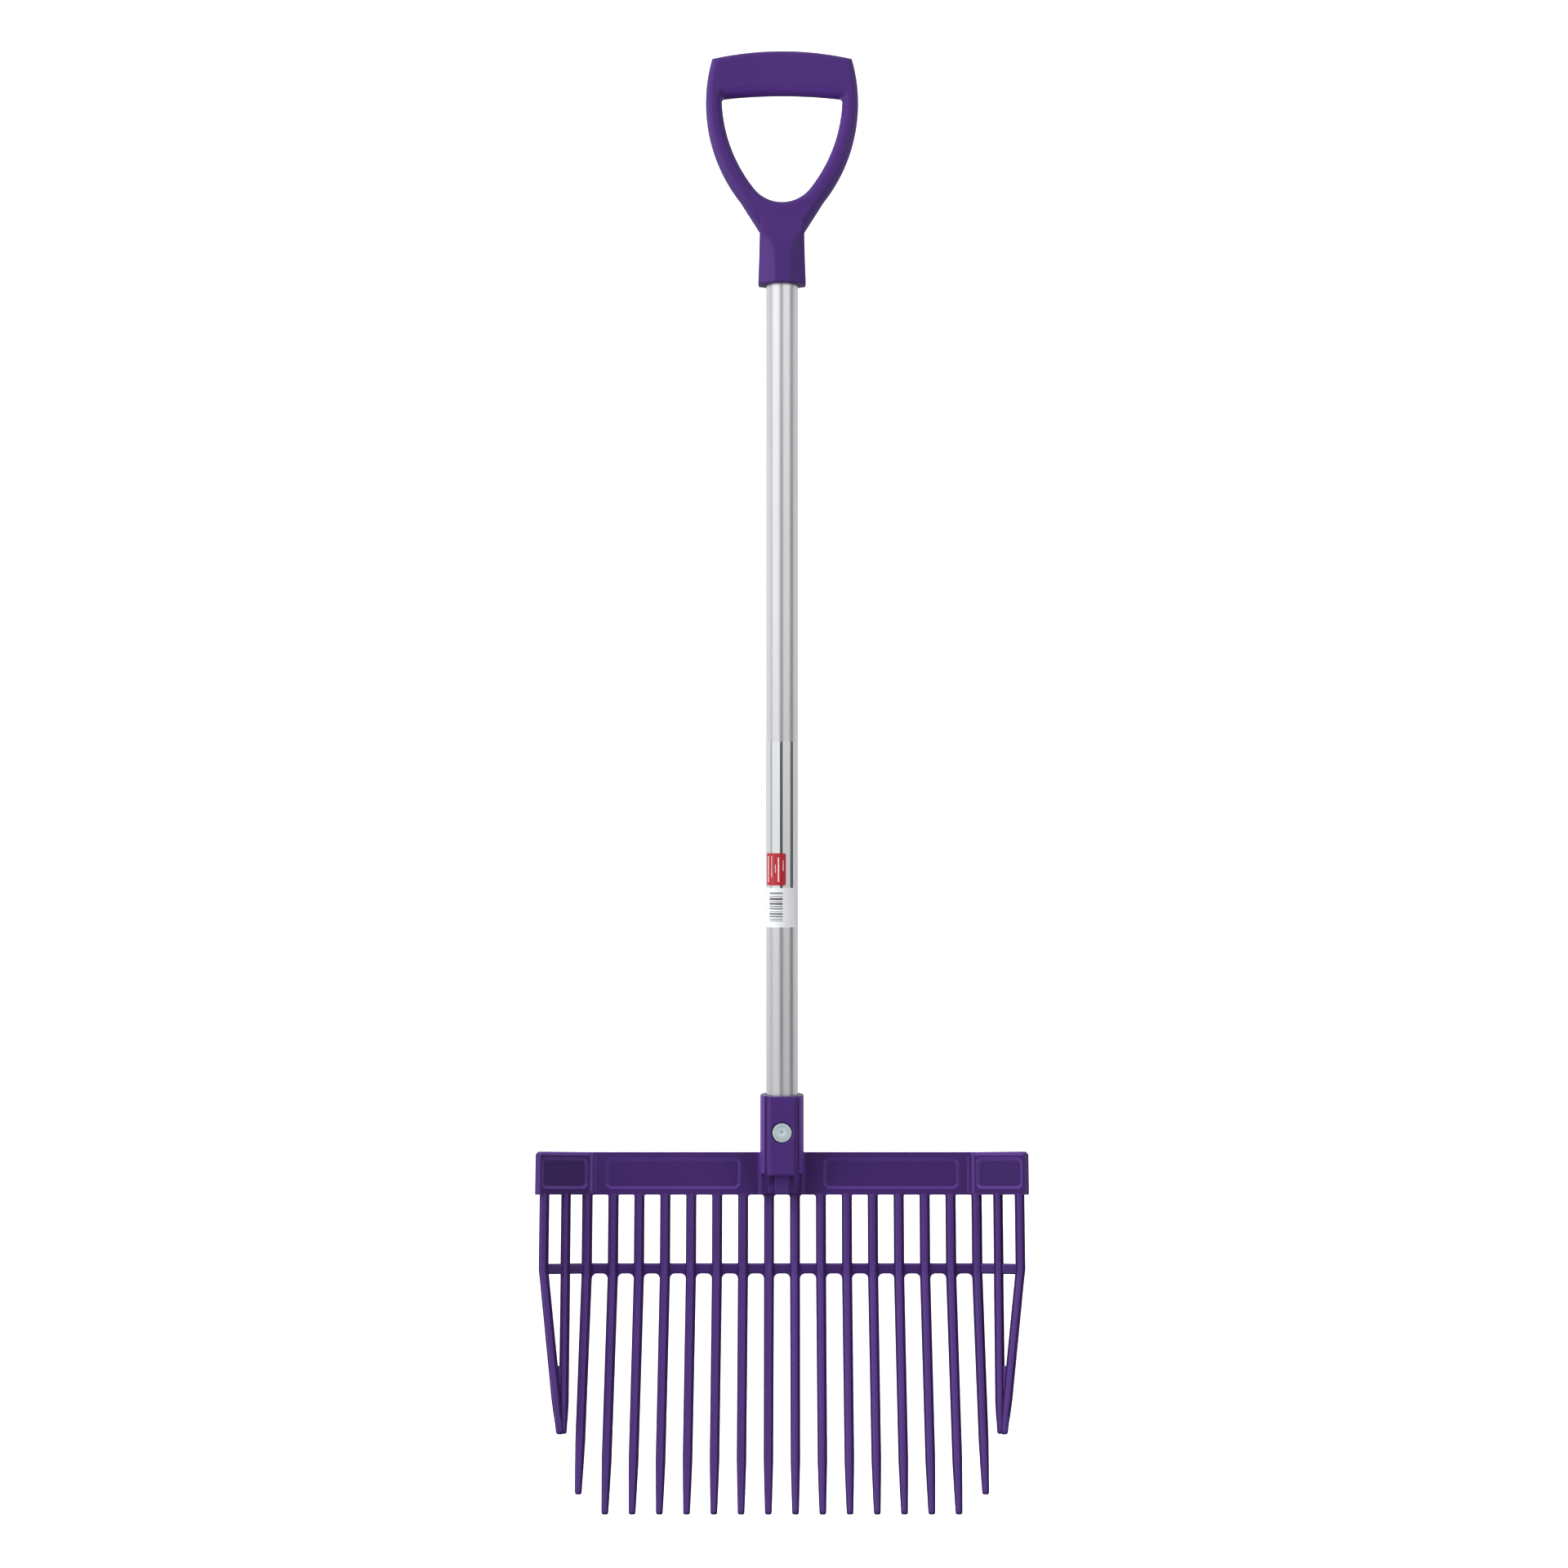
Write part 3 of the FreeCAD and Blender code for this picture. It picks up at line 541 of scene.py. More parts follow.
def arcs(*runs):
    """Points along arcs, each given by three of its points and a count, with its last point left out."""
    points = []
    for (ax, ay), (bx, by), (cx, cy), count in runs:
        d = 2 * (ax * (by - cy) + bx * (cy - ay) + cx * (ay - by))
        aa, bb, cc = ax * ax + ay * ay, bx * bx + by * by, cx * cx + cy * cy
        ux = (aa * (by - cy) + bb * (cy - ay) + cc * (ay - by)) / d
        uy = (aa * (cx - bx) + bb * (ax - cx) + cc * (bx - ax)) / d
        radius = hypot(ax - ux, ay - uy)
        first, last = atan2(ay - uy, ax - ux), atan2(cy - uy, cx - ux)
        sweep = (last - first + pi) % (2 * pi) - pi
        for i in range(count):
            turned = first + sweep * i / count
            points.append((ux + radius * cos(turned), uy + radius * sin(turned)))
    return points


def mirrored_outline(right):
    """A whole outline from its right half, which starts at the top and ends at the foot."""
    return right + [(-x, z) for x, z in reversed(right) if abs(x) > 1e-6]


def shifted_outline(outline, distance):
    """The outline with each corner mitred a distance to its own right-hand side."""
    shifted = []
    for i, (x, z) in enumerate(outline):
        before, after = outline[i - 1], outline[(i + 1) % len(outline)]
        into = Vector((x - before[0], z - before[1])).normalized()
        out = Vector((after[0] - x, after[1] - z)).normalized()
        mitre = (Vector((into.y, -into.x)) + Vector((out.y, -out.x))).normalized()
        reach = distance / max(mitre.dot(Vector((out.y, -out.x))), 0.4)
        shifted.append((x + mitre.x * reach, z + mitre.y * reach))
    return shifted


def extruded_rings(name, outline, rings):
    """A wall drawn ring by ring from an outline; each ring is (shift to the right, depth)."""
    curve = bpy.data.curves.new(name, "CURVE")
    curve.dimensions = "3D"
    spline = curve.splines.new("POLY")
    spline.points.add(len(outline) - 1)
    for point, (x, z) in zip(spline.points, shifted_outline(outline, rings[0][0])):
        point.co = (x, rings[0][1], z, 1)
    spline.use_cyclic_u = True
    wall = bpy.data.objects.new(name, curve)
    bpy.context.scene.collection.objects.link(wall)
    only(wall)
    bpy.ops.object.convert(target="MESH")
    wall = bpy.context.object
    open_up(wall)
    pick_all()
    for shift, y in rings[1:]:
        bpy.ops.mesh.extrude_edges_move()
        ring = sorted(selected_ring(wall), key=lambda v: v.index)
        for v, (x, z) in zip(ring, shifted_outline(outline, shift)):
            v.co = Vector((x, y, z))
        bmesh.update_edit_mesh(wall.data)
    end()
    return wall


def open_ends(part, axis, place):
    """Whether an edge bounds the wall's opening at a place along an axis."""
    return len(part.link_faces) == 1 and all(abs(v.co[axis] - place) < 1e-6 for v in part.verts)


# Head

def panel_y(sizes, x, offset):
    """Depth of the crossbar's folded line at x, at a distance behind its front face."""
    radius = sizes.wing_fold_radius + offset
    centre_y = sizes.crossbar_setback - sizes.wing_fold_radius
    beyond = abs(x) - sizes.wing_fold
    if beyond <= 0:
        return sizes.crossbar_setback + offset
    if beyond < radius * sin(sizes.wing_angle):
        return centre_y + sqrt(radius ** 2 - beyond ** 2)
    return (centre_y + radius * cos(sizes.wing_angle)
            - (beyond - radius * sin(sizes.wing_angle)) * tan(sizes.wing_angle))


def wing_start(sizes):
    return sizes.wing_fold + sizes.wing_fold_radius * sin(sizes.wing_angle)


def low_edge(sizes):
    return CROSSBAR_Z - sizes.crossbar_height / 2


def rung_low(sizes):
    return low_edge(sizes) - sizes.rung_drop - sizes.rung_height


def bend_height(sizes):
    return rung_low(sizes) - 0.0006


def tine_x(sizes, index):
    """Place of a tine of the right side, counted from the middle."""
    straight = min(index, sizes.straight_tines - 1)
    return (straight + 0.5) * sizes.tine_pitch + (index - straight) * sizes.wing_pitch


def wing_tines(sizes):
    """The two tines on a wing: index, length below the bend, bend and inset."""
    return ((sizes.straight_tines, sizes.ninth_length, sizes.tine_bend, sizes.ninth_inset),
            (sizes.straight_tines + 1, sizes.outer_length, sizes.outer_bend, sizes.outer_inset))


def mirror_over(piece):
    modify(piece, "MIRROR", use_axis=(True, False, False), use_mirror_merge=True, merge_threshold=NEAR)


def thin_from_behind(tine, lean, kept, share):
    """Brings the back of the last ring forward, beyond the kept depth, and leaves its front."""
    ring = selected_ring(tine)
    front = min(v.co.y for v in ring)
    for v in ring:
        step = min(0.0, -(v.co.y - front - kept) * (1 - share))
        v.co.y += step
        v.co.z -= step * tan(lean)
    bmesh.update_edit_mesh(tine.data)


def shape_tine(sizes, index, below_bend, bend, inset):
    """One tine, drawn down from the crossbar ring by ring, with a flat on its front and a round tip."""
    straight = index < sizes.straight_tines
    width, taper = (sizes.tine_width, sizes.taper) if straight else (sizes.wing_tine_width, sizes.wing_taper)
    half_bend, bend_steps, tip_run, kept_depth = 0.004, 4, 0.008, 0.0017
    ahead, overlap, flat_ahead, flat_aside = 0.0004, 0.0012, 0.00035, 0.07 * width
    x = tine_x(sizes, index)
    at = Vector((x, panel_y(sizes, x, sizes.crossbar_depth / 2) - ahead, low_edge(sizes) + overlap))
    bpy.ops.mesh.primitive_plane_add(size=1, location=at)
    tine = begin("tine_%d" % (index + 1))
    scale((width, sizes.tine_depth, 1), at)
    pick("VERT", lambda v: v.co.y < 0)
    bevel(sizes.tine_round, 5, "VERTICES")
    front = min(v.co.y for v in bmesh.from_edit_mesh(tine.data).verts)
    pick("EDGE", lambda e: all(v.co.y < front + NEAR for v in e.verts))
    bpy.ops.mesh.subdivide(number_cuts=1)
    # the flat stands forward and to the right, which gives the tine a light and a dark side
    pick("VERT", lambda v: v.co.y < front + NEAR)
    move((flat_aside, -flat_ahead, 0))
    pick_all()
    lean, side = 0.0, 0.0

    def down(step, wide=1.0, deep=1.0, turned=0.0, pivot_share=None):
        """Extrudes one ring along the tine's own line, turns it and scales it."""
        nonlocal at, lean
        fall = Vector((side, -sin(lean), -cos(lean))) * step
        extrude(fall)
        at = at + fall
        if turned:
            turn(-turned, "X", at)
            lean += turned
        if pivot_share is None:
            scale((wide, deep, 1), at)
        else:
            ring = sorted((tine.matrix_world @ v.co for v in selected_ring(tine)), key=lambda place: place.y)
            pivot = ring[0].lerp(ring[-1], pivot_share)
            scale((wide, deep, deep), (at.x, pivot.y, pivot.z))

    down(at.z - bend_height(sizes) - half_bend)
    side = -inset / below_bend
    for _ in range(bend_steps):
        down(2 * half_bend / bend_steps, turned=bend / bend_steps)
    # shares of the width and the depth that are left at each stage
    narrow, tip = (0.926 if straight else 1.0), sizes.tip_width / width
    half_narrow, half_tip, tip_start = (1 + narrow) / 2, (1 + tip / narrow) / 2, 1.08
    taper_flat, tip_flat, back_share = 0.81, 0.85, 0.4
    until_taper, cap = below_bend - half_bend + SUNK / 2 - taper, sizes.tip_width / 2
    down(until_taper / 2, half_narrow, half_narrow)
    down(until_taper / 2, narrow / half_narrow, narrow / half_narrow)
    down(taper / 2, half_tip, half_tip * taper_flat)
    last_share = tip / narrow / half_tip
    down(taper / 2 - cap - tip_run, last_share * tip_start, last_share * tip_flat)
    down(tip_run, 1 / tip_start)
    thin_from_behind(tine, lean, kept_depth, back_share)
    # the round tip: reach, width and depth of each ring as shares, shrinking towards its back
    last = (0.0, 1.0, 1.0)
    for degrees in (20, 38, 54, 68, 80):
        t = radians(degrees)
        ring = (sin(t), cos(t) ** 0.9, 0.25 + 0.75 * cos(t))
        down(cap * (ring[0] - last[0]), ring[1] / last[1], ring[2] / last[2], pivot_share=0.575)
        last = ring
    return close(tine)


def shape_tines(sizes):
    """All the tines of the right side; the left side is mirrored later."""
    first = shape_tine(sizes, 0, sizes.tine_length, sizes.tine_bend, 0)
    tines = [first]
    for i in range(1, sizes.straight_tines - 1):
        tines.append(copied(first, (i * sizes.tine_pitch, 0, 0)))
    tines.append(shape_tine(sizes, sizes.straight_tines - 1, sizes.eighth_length, sizes.tine_bend, 0))
    tines += [shape_tine(sizes, *tine) for tine in wing_tines(sizes)]
    return join("tines", tines)


def shape_web(sizes):
    """The thin web where the two outer tines run together."""
    corners, top_share, foot_share = {}, 0.58, 0.992
    for side, (index, below_bend, bend, inset) in zip((-1, 1), wing_tines(sizes)):
        x = tine_x(sizes, index)
        start = Vector((x, panel_y(sizes, x, sizes.crossbar_depth / 2), bend_height(sizes)))
        run = Vector((-inset, -below_bend * sin(bend), -below_bend * cos(bend)))
        corners[side, 1] = start + run * top_share
        corners[side, -1] = start + run * foot_share
    bpy.ops.mesh.primitive_plane_add(size=1, location=(0, 0, 0))
    web = begin("web")
    for (side, rise), corner in corners.items():
        pick("VERT", lambda v: v.co.x * side > 0.2 and v.co.y * rise > 0.2 and abs(v.co.z) < 1e-6)
        move(corner - Vector((side / 2, rise / 2, 0)))
    pick_all()
    extrude((0, sizes.web_thickness, 0))
    pick_all()
    move((0, -sizes.web_thickness / 2, 0))
    return close(web)


def bent_bar(sizes, name, setback, depth, low, high, end_inset):
    """The right half of a bar that follows the crossbar's line."""
    y = sizes.crossbar_setback + setback
    bar = block(name, (0, y, low), (sizes.wing_fold, y + depth, high))
    pick("FACE", lambda f: f.normal.x > 0.9)
    fold_y = sizes.crossbar_setback - sizes.wing_fold_radius
    bpy.ops.mesh.spin(steps=6, angle=sizes.wing_angle, center=(sizes.wing_fold, fold_y, 0), axis=(0, 0, 1))
    long = (sizes.wing_reach - wing_start(sizes)) / cos(sizes.wing_angle) - end_inset
    extrude((long * cos(sizes.wing_angle), -long * sin(sizes.wing_angle), 0))
    return close(bar)


def open_middle(bar):
    """Takes away the end face at the middle, where the mirrored half joins."""
    open_up(bar)
    pick("FACE", lambda f: f.normal.x < -0.99 and middle(f).x < NEAR)
    bpy.ops.mesh.delete(type="FACE")
    end()


def cut_panel(sizes, bar, width, depth, place):
    """Cuts a shallow recess with round corners and sloped walls."""
    half_width, half_height, wall = width / 2, sizes.panel_height / 2, 0.0100
    recess = block("recess", (-half_width, depth - wall, -half_height), (half_width, depth, half_height))
    bevel_edges(lambda e: abs(direction(e).y) > 0.9, 0.0036, 6)
    pick("FACE", lambda f: f.normal.y < -0.9)
    scale(((half_width + wall) / half_width, 1, (half_height + wall) / half_height), (0, 0, 0))
    cut(bar, settle(close(recess), place))


def shape_crossbar(sizes):
    """The crossbar: a folded channel with lips and ribs behind and shallow panels in front."""
    low, high = low_edge(sizes), low_edge(sizes) + sizes.crossbar_height
    bar = bent_bar(sizes, "crossbar", 0, sizes.crossbar_depth, low, high, 0)
    open_up(bar)
    pick("EDGE", lambda e: all(v.co.z > high - NEAR for v in e.verts) and abs(direction(e).x) > 0.5
         and middle(e).x > sizes.wing_fold + 0.01
         and middle(e).y < panel_y(sizes, middle(e).x, sizes.crossbar_depth / 2))
    bevel(0.0022, 1)
    pick("FACE", lambda f: f.normal.y > 0.5)
    bpy.ops.mesh.inset(thickness=sizes.lip, depth=0, use_boundary=True, use_even_offset=True)
    bpy.ops.mesh.extrude_region_shrink_fatten(TRANSFORM_OT_shrink_fatten={"value": -sizes.channel_depth})
    end()
    cut_panel(sizes, bar, sizes.panel_width, sizes.crossbar_setback + sizes.panel_depth,
              Matrix.Translation((sizes.panel_x, 0, CROSSBAR_Z)))
    x = (wing_start(sizes) + sizes.wing_reach) / 2
    cut_panel(sizes, bar, sizes.wing_panel_width, sizes.panel_depth,
              Matrix.Translation((x, panel_y(sizes, x, 0), CROSSBAR_Z))
              @ Matrix.Rotation(-sizes.wing_angle, 4, "Z"))
    open_middle(bar)
    soften(bar, 0.00055, 28)
    fold_rib = block("fold_rib", (sizes.wing_fold - 0.0024, panel_y(sizes, 0, -0.0009), low + 0.0012),
                     (sizes.wing_fold + 0.0014, panel_y(sizes, 0, 0.003), high - 0.0030))
    bevel_edges(lambda e: middle(e).y < -0.0019 and abs(direction(e).z) > 0.9, 0.0017, 6)
    pieces = [bar, close(fold_rib)]
    for i in range(sizes.straight_tines + 1):
        x, half = tine_x(sizes, i), sizes.rib_width / 2
        front, back = panel_y(sizes, x, 0.0016), panel_y(sizes, x, sizes.crossbar_depth - 2 * SUNK)
        pieces.append(close(block("rib", (x - half, front, low + 0.001), (x + half, back, high - 0.0015))))
    return join("crossbar", pieces)


def shape_rung(sizes):
    """The rung that ties the tines together where they bend."""
    low = rung_low(sizes)
    rung = bent_bar(sizes, "rung", sizes.rung_setback, sizes.rung_depth, low, low + sizes.rung_height, 0.0038)
    open_middle(rung)
    soften(rung, 0.0012, 40, 3)
    return rung


def shape_beads(sizes):
    """The raised line on the front of each tine where the rung crosses it."""
    low, overlap, proud, beads = rung_low(sizes), 0.0012, 0.0009, []
    for i in range(sizes.straight_tines + 2):
        x = tine_x(sizes, i)
        front = panel_y(sizes, x, sizes.crossbar_depth / 2) - sizes.tine_depth / 2 - proud
        beads.append(close(block("bead", (x - 0.0005, front, low - overlap),
                                 (x + 0.0008, front + 0.0020, low + sizes.rung_height + overlap))))
    beads = join("beads", beads)
    soften(beads, 0.0004, 40)
    return beads


def shape_bays(sizes, name, front, depth, top, radius, gaps):
    """Round upper corners for the gaps between the straight tines; gap 0 is the middle one."""
    pitch, half, clear = sizes.tine_pitch, (sizes.tine_pitch - sizes.tine_width) / 2, 0.01
    bay = close(block(name, (-pitch / 2, front, top - radius), (pitch / 2, front + depth, top + 0.002)))
    slot = block("slot", (-half, front - clear, top - 0.03), (half, front + depth + clear, top))
    bevel_edges(lambda e: abs(direction(e).y) > 0.9, radius, 7)
    end()
    cut(bay, slot)
    soften(bay, 0.0005, 30)
    bays = [bay] + [copied(bay, ((gap - gaps[0]) * pitch, 0, 0)) for gap in gaps[1:]]
    for piece in bays:
        piece.location.x += gaps[0] * pitch
    return join(name, bays)


def shape_all_bays(sizes):
    """The arches under the rung and the corners under the crossbar: mirrored ones and middle ones."""
    bar_front, last = sizes.crossbar_setback + SUNK, sizes.straight_tines
    under_rung = (bar_front + sizes.rung_setback, sizes.rung_depth - 2 * SUNK, rung_low(sizes),
                  sizes.arch_radius)
    under_bar = (bar_front, sizes.crossbar_depth - 2 * SUNK, low_edge(sizes))
    mirrored = [shape_bays(sizes, "arches", *under_rung, range(1, last)),
                shape_bays(sizes, "roots", *under_bar, sizes.root_radius, [1]),
                shape_bays(sizes, "corners", *under_bar, sizes.corner_radius, range(2, last))]
    single = [shape_bays(sizes, "middle_arch", *under_rung, [0]),
              shape_bays(sizes, "middle_root", *under_bar, sizes.root_radius, [0])]
    return mirrored, single


def socket_outline(socket):
    """The socket seen from above: boss, groove, round side wall, groove, boss behind."""
    half, front, back, side = socket.boss_width / 2, socket.front, socket.back, socket.radius
    right = [(0, front)] + arcs(
        ((half - 0.0010, front), (half, front - 0.0004), (half + 0.0004, front - 0.0014), 4),
        ((half + 0.0006, front - 0.0026), (half + 0.0019, front - 0.0050),
         (half + 0.0038, front - 0.0048), 6),
        ((half + 0.0038, front - 0.0048), (side - 0.0010, 0.0094), (side, 0.0030), 9),
        ((side, 0.0030), (side, -0.0005), (side - 0.0003, -0.0050), 4),
        ((side - 0.0003, -0.0050), (side - 0.0018, -0.0098), (half + 0.0042, -0.0124), 6),
        ((half + 0.0042, -0.0124), (half + 0.0018, -0.0140), (half + 0.0006, -0.0166), 5),
        ((half + 0.0004, -back + 0.0014), (half, -back + 0.0004), (half - 0.0010, -back), 4))
    return mirrored_outline(right + [(half - 0.0010, -back), (0, -back)])


def slope_back(setback):
    """Moves the lower front edge of the open block back."""
    pick("VERT", lambda v: v.co.y < 0 and v.co.z < 0)
    move((0, setback, 0))


def shape_foot(sizes, socket):
    """The ledge, the step, the apron and the two gussets under the socket's front."""
    end_z, foot_z, ledge_front = SOCKET_END_Z, SOCKET_END_Z - socket.foot, -socket.front + 0.0004
    foot = [close(block("ledge", (-0.0114, ledge_front, end_z - 0.0006), (0.0114, 0, end_z + 0.0018))),
            close(block("step", (-0.0057, -0.0124, low_edge(sizes) + 0.0022), (0.0057, 0.004, end_z)))]
    apron = block("apron", (-0.0112, -0.0114, foot_z), (0.0112, 0.002, end_z + SUNK))
    slope_back(0.0018)
    foot.append(close(apron))
    for x in (-0.0118, 0.0118):
        gusset = block("gusset", (x - 0.0012, -0.0150, foot_z), (x + 0.0012, 0.0026, end_z + 0.0003))
        slope_back(0.0076)
        pick("VERT", lambda v: v.co.z > 0)
        scale((2.1, 1, 1), (copysign(0.0123, x), 0, end_z))
        foot.append(close(gusset))
    for piece in foot:
        soften(piece, 0.0007, 30, 3)
    return foot


def shape_socket(sizes, socket):
    """The socket: a round wall with flat bosses front and back, bored and drilled, and its foot."""
    rim, countersink, overrun = 0.0009, 0.0020, 0.02
    rings = [(0.0006, SOCKET_END_Z), (0.0002, SOCKET_END_Z + 0.0003), (0, SOCKET_END_Z + 0.0009)]
    for t in (pi / 8 * i for i in range(5)):
        rings.append((rim * (1 - cos(t)), RIM_Z - rim + rim * sin(t)))
    body = extruded_rings("socket", socket_outline(socket), rings)
    open_up(body)
    for z in (SOCKET_END_Z, RIM_Z):
        pick("EDGE", lambda e: open_ends(e, 1, z))
        bpy.ops.mesh.edge_face_add()
    settle(close(body), Matrix.Rotation(pi / 2, 4, "X"))
    foot = shape_foot(sizes, socket)
    drill(body, socket.bore, 4 * overrun, (0, 0, SOCKET_FLOOR_Z + 2 * overrun), UPRIGHT, 64)
    drill(body, socket.bolt_recess / 2, overrun,
          (0, -socket.front + socket.bolt_recess_depth - overrun / 2, BOLT_Z))
    drill(body, socket.nut_recess / sqrt(3), overrun,
          (0, socket.back - socket.nut_recess_depth + overrun / 2, BOLT_Z), (pi / 2, pi / 6, 0), 6)
    drill(body, socket.bolt_hole / 2, 3 * overrun, (0, 0, BOLT_Z), sides=32)
    bpy.ops.mesh.primitive_cone_add(vertices=48, radius1=socket.bolt_recess / 2,
                                    radius2=socket.bolt_recess / 2 + countersink, depth=countersink,
                                    location=(0, -socket.front, BOLT_Z), rotation=LYING)
    cut(body, bpy.context.object)
    open_up(body)
    bevel_edges(lambda e: all(v.co.z > RIM_Z - NEAR and abs(v.co.xy.length - socket.bore) < NEAR
                              for v in e.verts), 0.0005, 2)
    end()
    return join("socket", [body] + foot)


def shape_root(sizes, socket):
    """The sloped foot that carries the socket into the crossbar's front."""
    half, low = socket.root_width / 2, low_edge(sizes)
    root = block("root", (-half, -0.0040, low + SUNK),
                 (half, sizes.crossbar_depth / 2, low + sizes.crossbar_height - SUNK))
    bevel_edges(lambda e: abs(direction(e).z) > 0.9 and middle(e).y < 0, 0.0048, 3)
    close(root)
    soften(root, 0.0008, 30)
    return root


class BEDDINGFORK_OT_head(bpy.types.Operator):
    """Model the moulded head: tines, crossbar, rung, arches and socket"""
    bl_idname = "beddingfork.head"
    bl_label = "Moulded head"

    def execute(self, context):
        sizes, socket_sizes = context.scene.fork_head, context.scene.fork_socket
        tines, web, crossbar = shape_tines(sizes), shape_web(sizes), shape_crossbar(sizes)
        rung, beads = shape_rung(sizes), shape_beads(sizes)
        mirrored, single = shape_all_bays(sizes)
        for piece in [tines, web, crossbar, rung, beads] + mirrored:
            mirror_over(piece)
        root, socket = shape_root(sizes, socket_sizes), shape_socket(sizes, socket_sizes)
        # the crossbar, the root and the rung take a darker copy of the plastic as painted shade, and the
        # beads a lighter copy as a painted highlight
        finishes = {crossbar: "moulded_panel_painted_shade", root: "moulded_panel_painted_shade", tines: "moulded_tine",
                    rung: "moulded_panel_painted_shade", beads: "moulded_painted_highlight"}
        comb = [tines, web, crossbar, rung, beads, root] + mirrored + single
        for piece in comb + [socket]:
            lay(piece, finishes.get(piece, "moulded_plastic"))
        # painted shade: a darker copy of the plastic on the tines' sides
        touch_up(tines, "moulded_shade", lambda f: f.normal.x > 0.36 or f.normal.x < -0.55)
        # painted highlights: a lighter copy of the plastic on the rung's top edge, the socket's outer side
        # bands and the crossbar's recess walls and folds
        touch_up(rung, "moulded_painted_highlight", lambda f: f.normal.z > 0.25 and f.normal.y < -0.2)
        touch_up(socket, "moulded_painted_highlight", lambda f: abs(f.center.x) > 0.0134 and f.normal.y < -0.05
                 and f.center.y < -0.004)
        touch_up(crossbar, "moulded_painted_highlight", lambda f: -0.99 < f.normal.y < -0.25 and abs(f.center.x) < 0.1895)
        # painted shade: a darker copy of the plastic on the wings' front faces
        across, forward = sin(sizes.wing_angle), cos(sizes.wing_angle)
        touch_up(crossbar, "moulded_wing_painted_shade",
                 lambda f: f.normal.dot(Vector((copysign(across, f.normal.x), -forward, 0))) > 0.99)
        pivot = Matrix.Translation((0, 0, CROSSBAR_Z))
        lean = Matrix.Rotation(-sizes.pitch_angle, 4, "X")
        comb = settle(join("comb", comb), pivot @ lean @ pivot.inverted())
        head = join("head_moulding", [comb, socket])
        smooth(head, 38)
        dress(head, "moulding", "fork_head")
        return {"FINISHED"}


# Grip

def rounded_rings(half_depth, width, drop, count):
    """Rings of a wall from the back face to the front face, with an elliptic rounding at each."""
    turns = [pi / 2 * i / count for i in range(count + 1)]
    back = [(width * (1 - sin(t)), half_depth - drop * (1 - cos(t))) for t in turns]
    return back + [(across, -y) for across, y in reversed(back)]


def shape_bow(grip):
    """The bar and the arms of the D, with a wider rounding round the window than outside."""
    shoulder, elbow = (0.05560, 0.02785), (0.03315, -0.08508)
    right = arcs(((0, 0.0340), (0.0285, 0.03240), shoulder, 14),
                 (shoulder, (0.06050, -0.00604), elbow, 26)) + [elbow, (0.0176, NECK_Z)]
    outer = extruded_rings("bow", mirrored_outline(right),
                           rounded_rings(grip.half_depth, grip.outer_round, grip.outer_drop, 10))
    bar_end, corner, throat, foot = (0.0448, -0.00246), (0.04765, -0.0056), (0.02144, -0.07543), (0, -0.0854)
    window = mirrored_outline(arcs(((0, 0), (0.0228, -0.00064), bar_end, 10),
                                   (bar_end, (0.04700, -0.00335), corner, 5),
                                   (corner, (0.04023, -0.04254), throat, 22),
                                   (throat, (0.01184, -0.08277), foot, 10)) + [foot])
    inner = extruded_rings("window", window[:1] + window[:0:-1],
                           rounded_rings(grip.half_depth, grip.window_round, grip.window_drop, 9))
    bow = join("bow", [outer, inner])
    open_up(bow)
    for y in (grip.half_depth, -grip.half_depth):
        pick("EDGE", lambda e: open_ends(e, 1, y))
        bpy.ops.mesh.fill(use_beauty=True)
    return close(bow)


def shape_grip_socket(grip):
    """The faceted socket: an octagon drawn up ring by ring from the mouth into the arms."""
    bpy.ops.mesh.primitive_circle_add(vertices=8, radius=1, fill_type="NGON", location=(0, 0, 0),
                                      rotation=(0, 0, radians(22.5)))
    socket = begin("grip_socket")
    pick_all()
    deep = grip.socket_half_depth
    # half width of the front flat, half depth, half width, half depth of the side flat, height
    rings = [
        (0.0059, deep, grip.mouth_half_width, 0.0076, MOUTH_Z),
        (0.0059, deep, 0.01825, 0.0082, NECK_Z - 0.0230),
        (0.0062, deep - 0.0002, 0.01812, 0.0088, NECK_Z - 0.0180),
        (0.0072, deep - 0.0006, 0.01800, 0.0098, NECK_Z - 0.0135),
        (0.0088, deep - 0.0011, 0.01788, 0.0109, NECK_Z - 0.0098),
        (0.0109, deep - 0.0016, 0.01778, 0.0122, NECK_Z - 0.0064),
        (0.0136, deep - 0.0021, 0.01768, 0.0137, NECK_Z - 0.0031),
        (0.0168, deep - 0.0026, 0.01760, 0.0150, NECK_Z),
        (0.0163, grip.half_depth + 0.0006, 0.01710, 0.0122, NECK_Z + 0.0080),
        (0.0152, grip.half_depth - 0.0003, 0.01600, 0.0092, NECK_Z + 0.0155),
    ]
    place, last = socket.matrix_world, (0, 1, 1, 0, 0)
    for flat, depth, half, shoulder, z in rings:
        if last[4]:
            extrude((0, 0, z - last[4]))
        for v in selected_ring(socket):
            at = place @ v.co
            front = abs(at.y) / last[1] > abs(at.x) / last[2]
            x, y = (flat, depth) if front else (half, shoulder)
            v.co = place.inverted() @ Vector((copysign(x, at.x), copysign(y, at.y), z))
        bmesh.update_edit_mesh(socket.data)
        last = (flat, depth, half, shoulder, z)
    return close(socket)


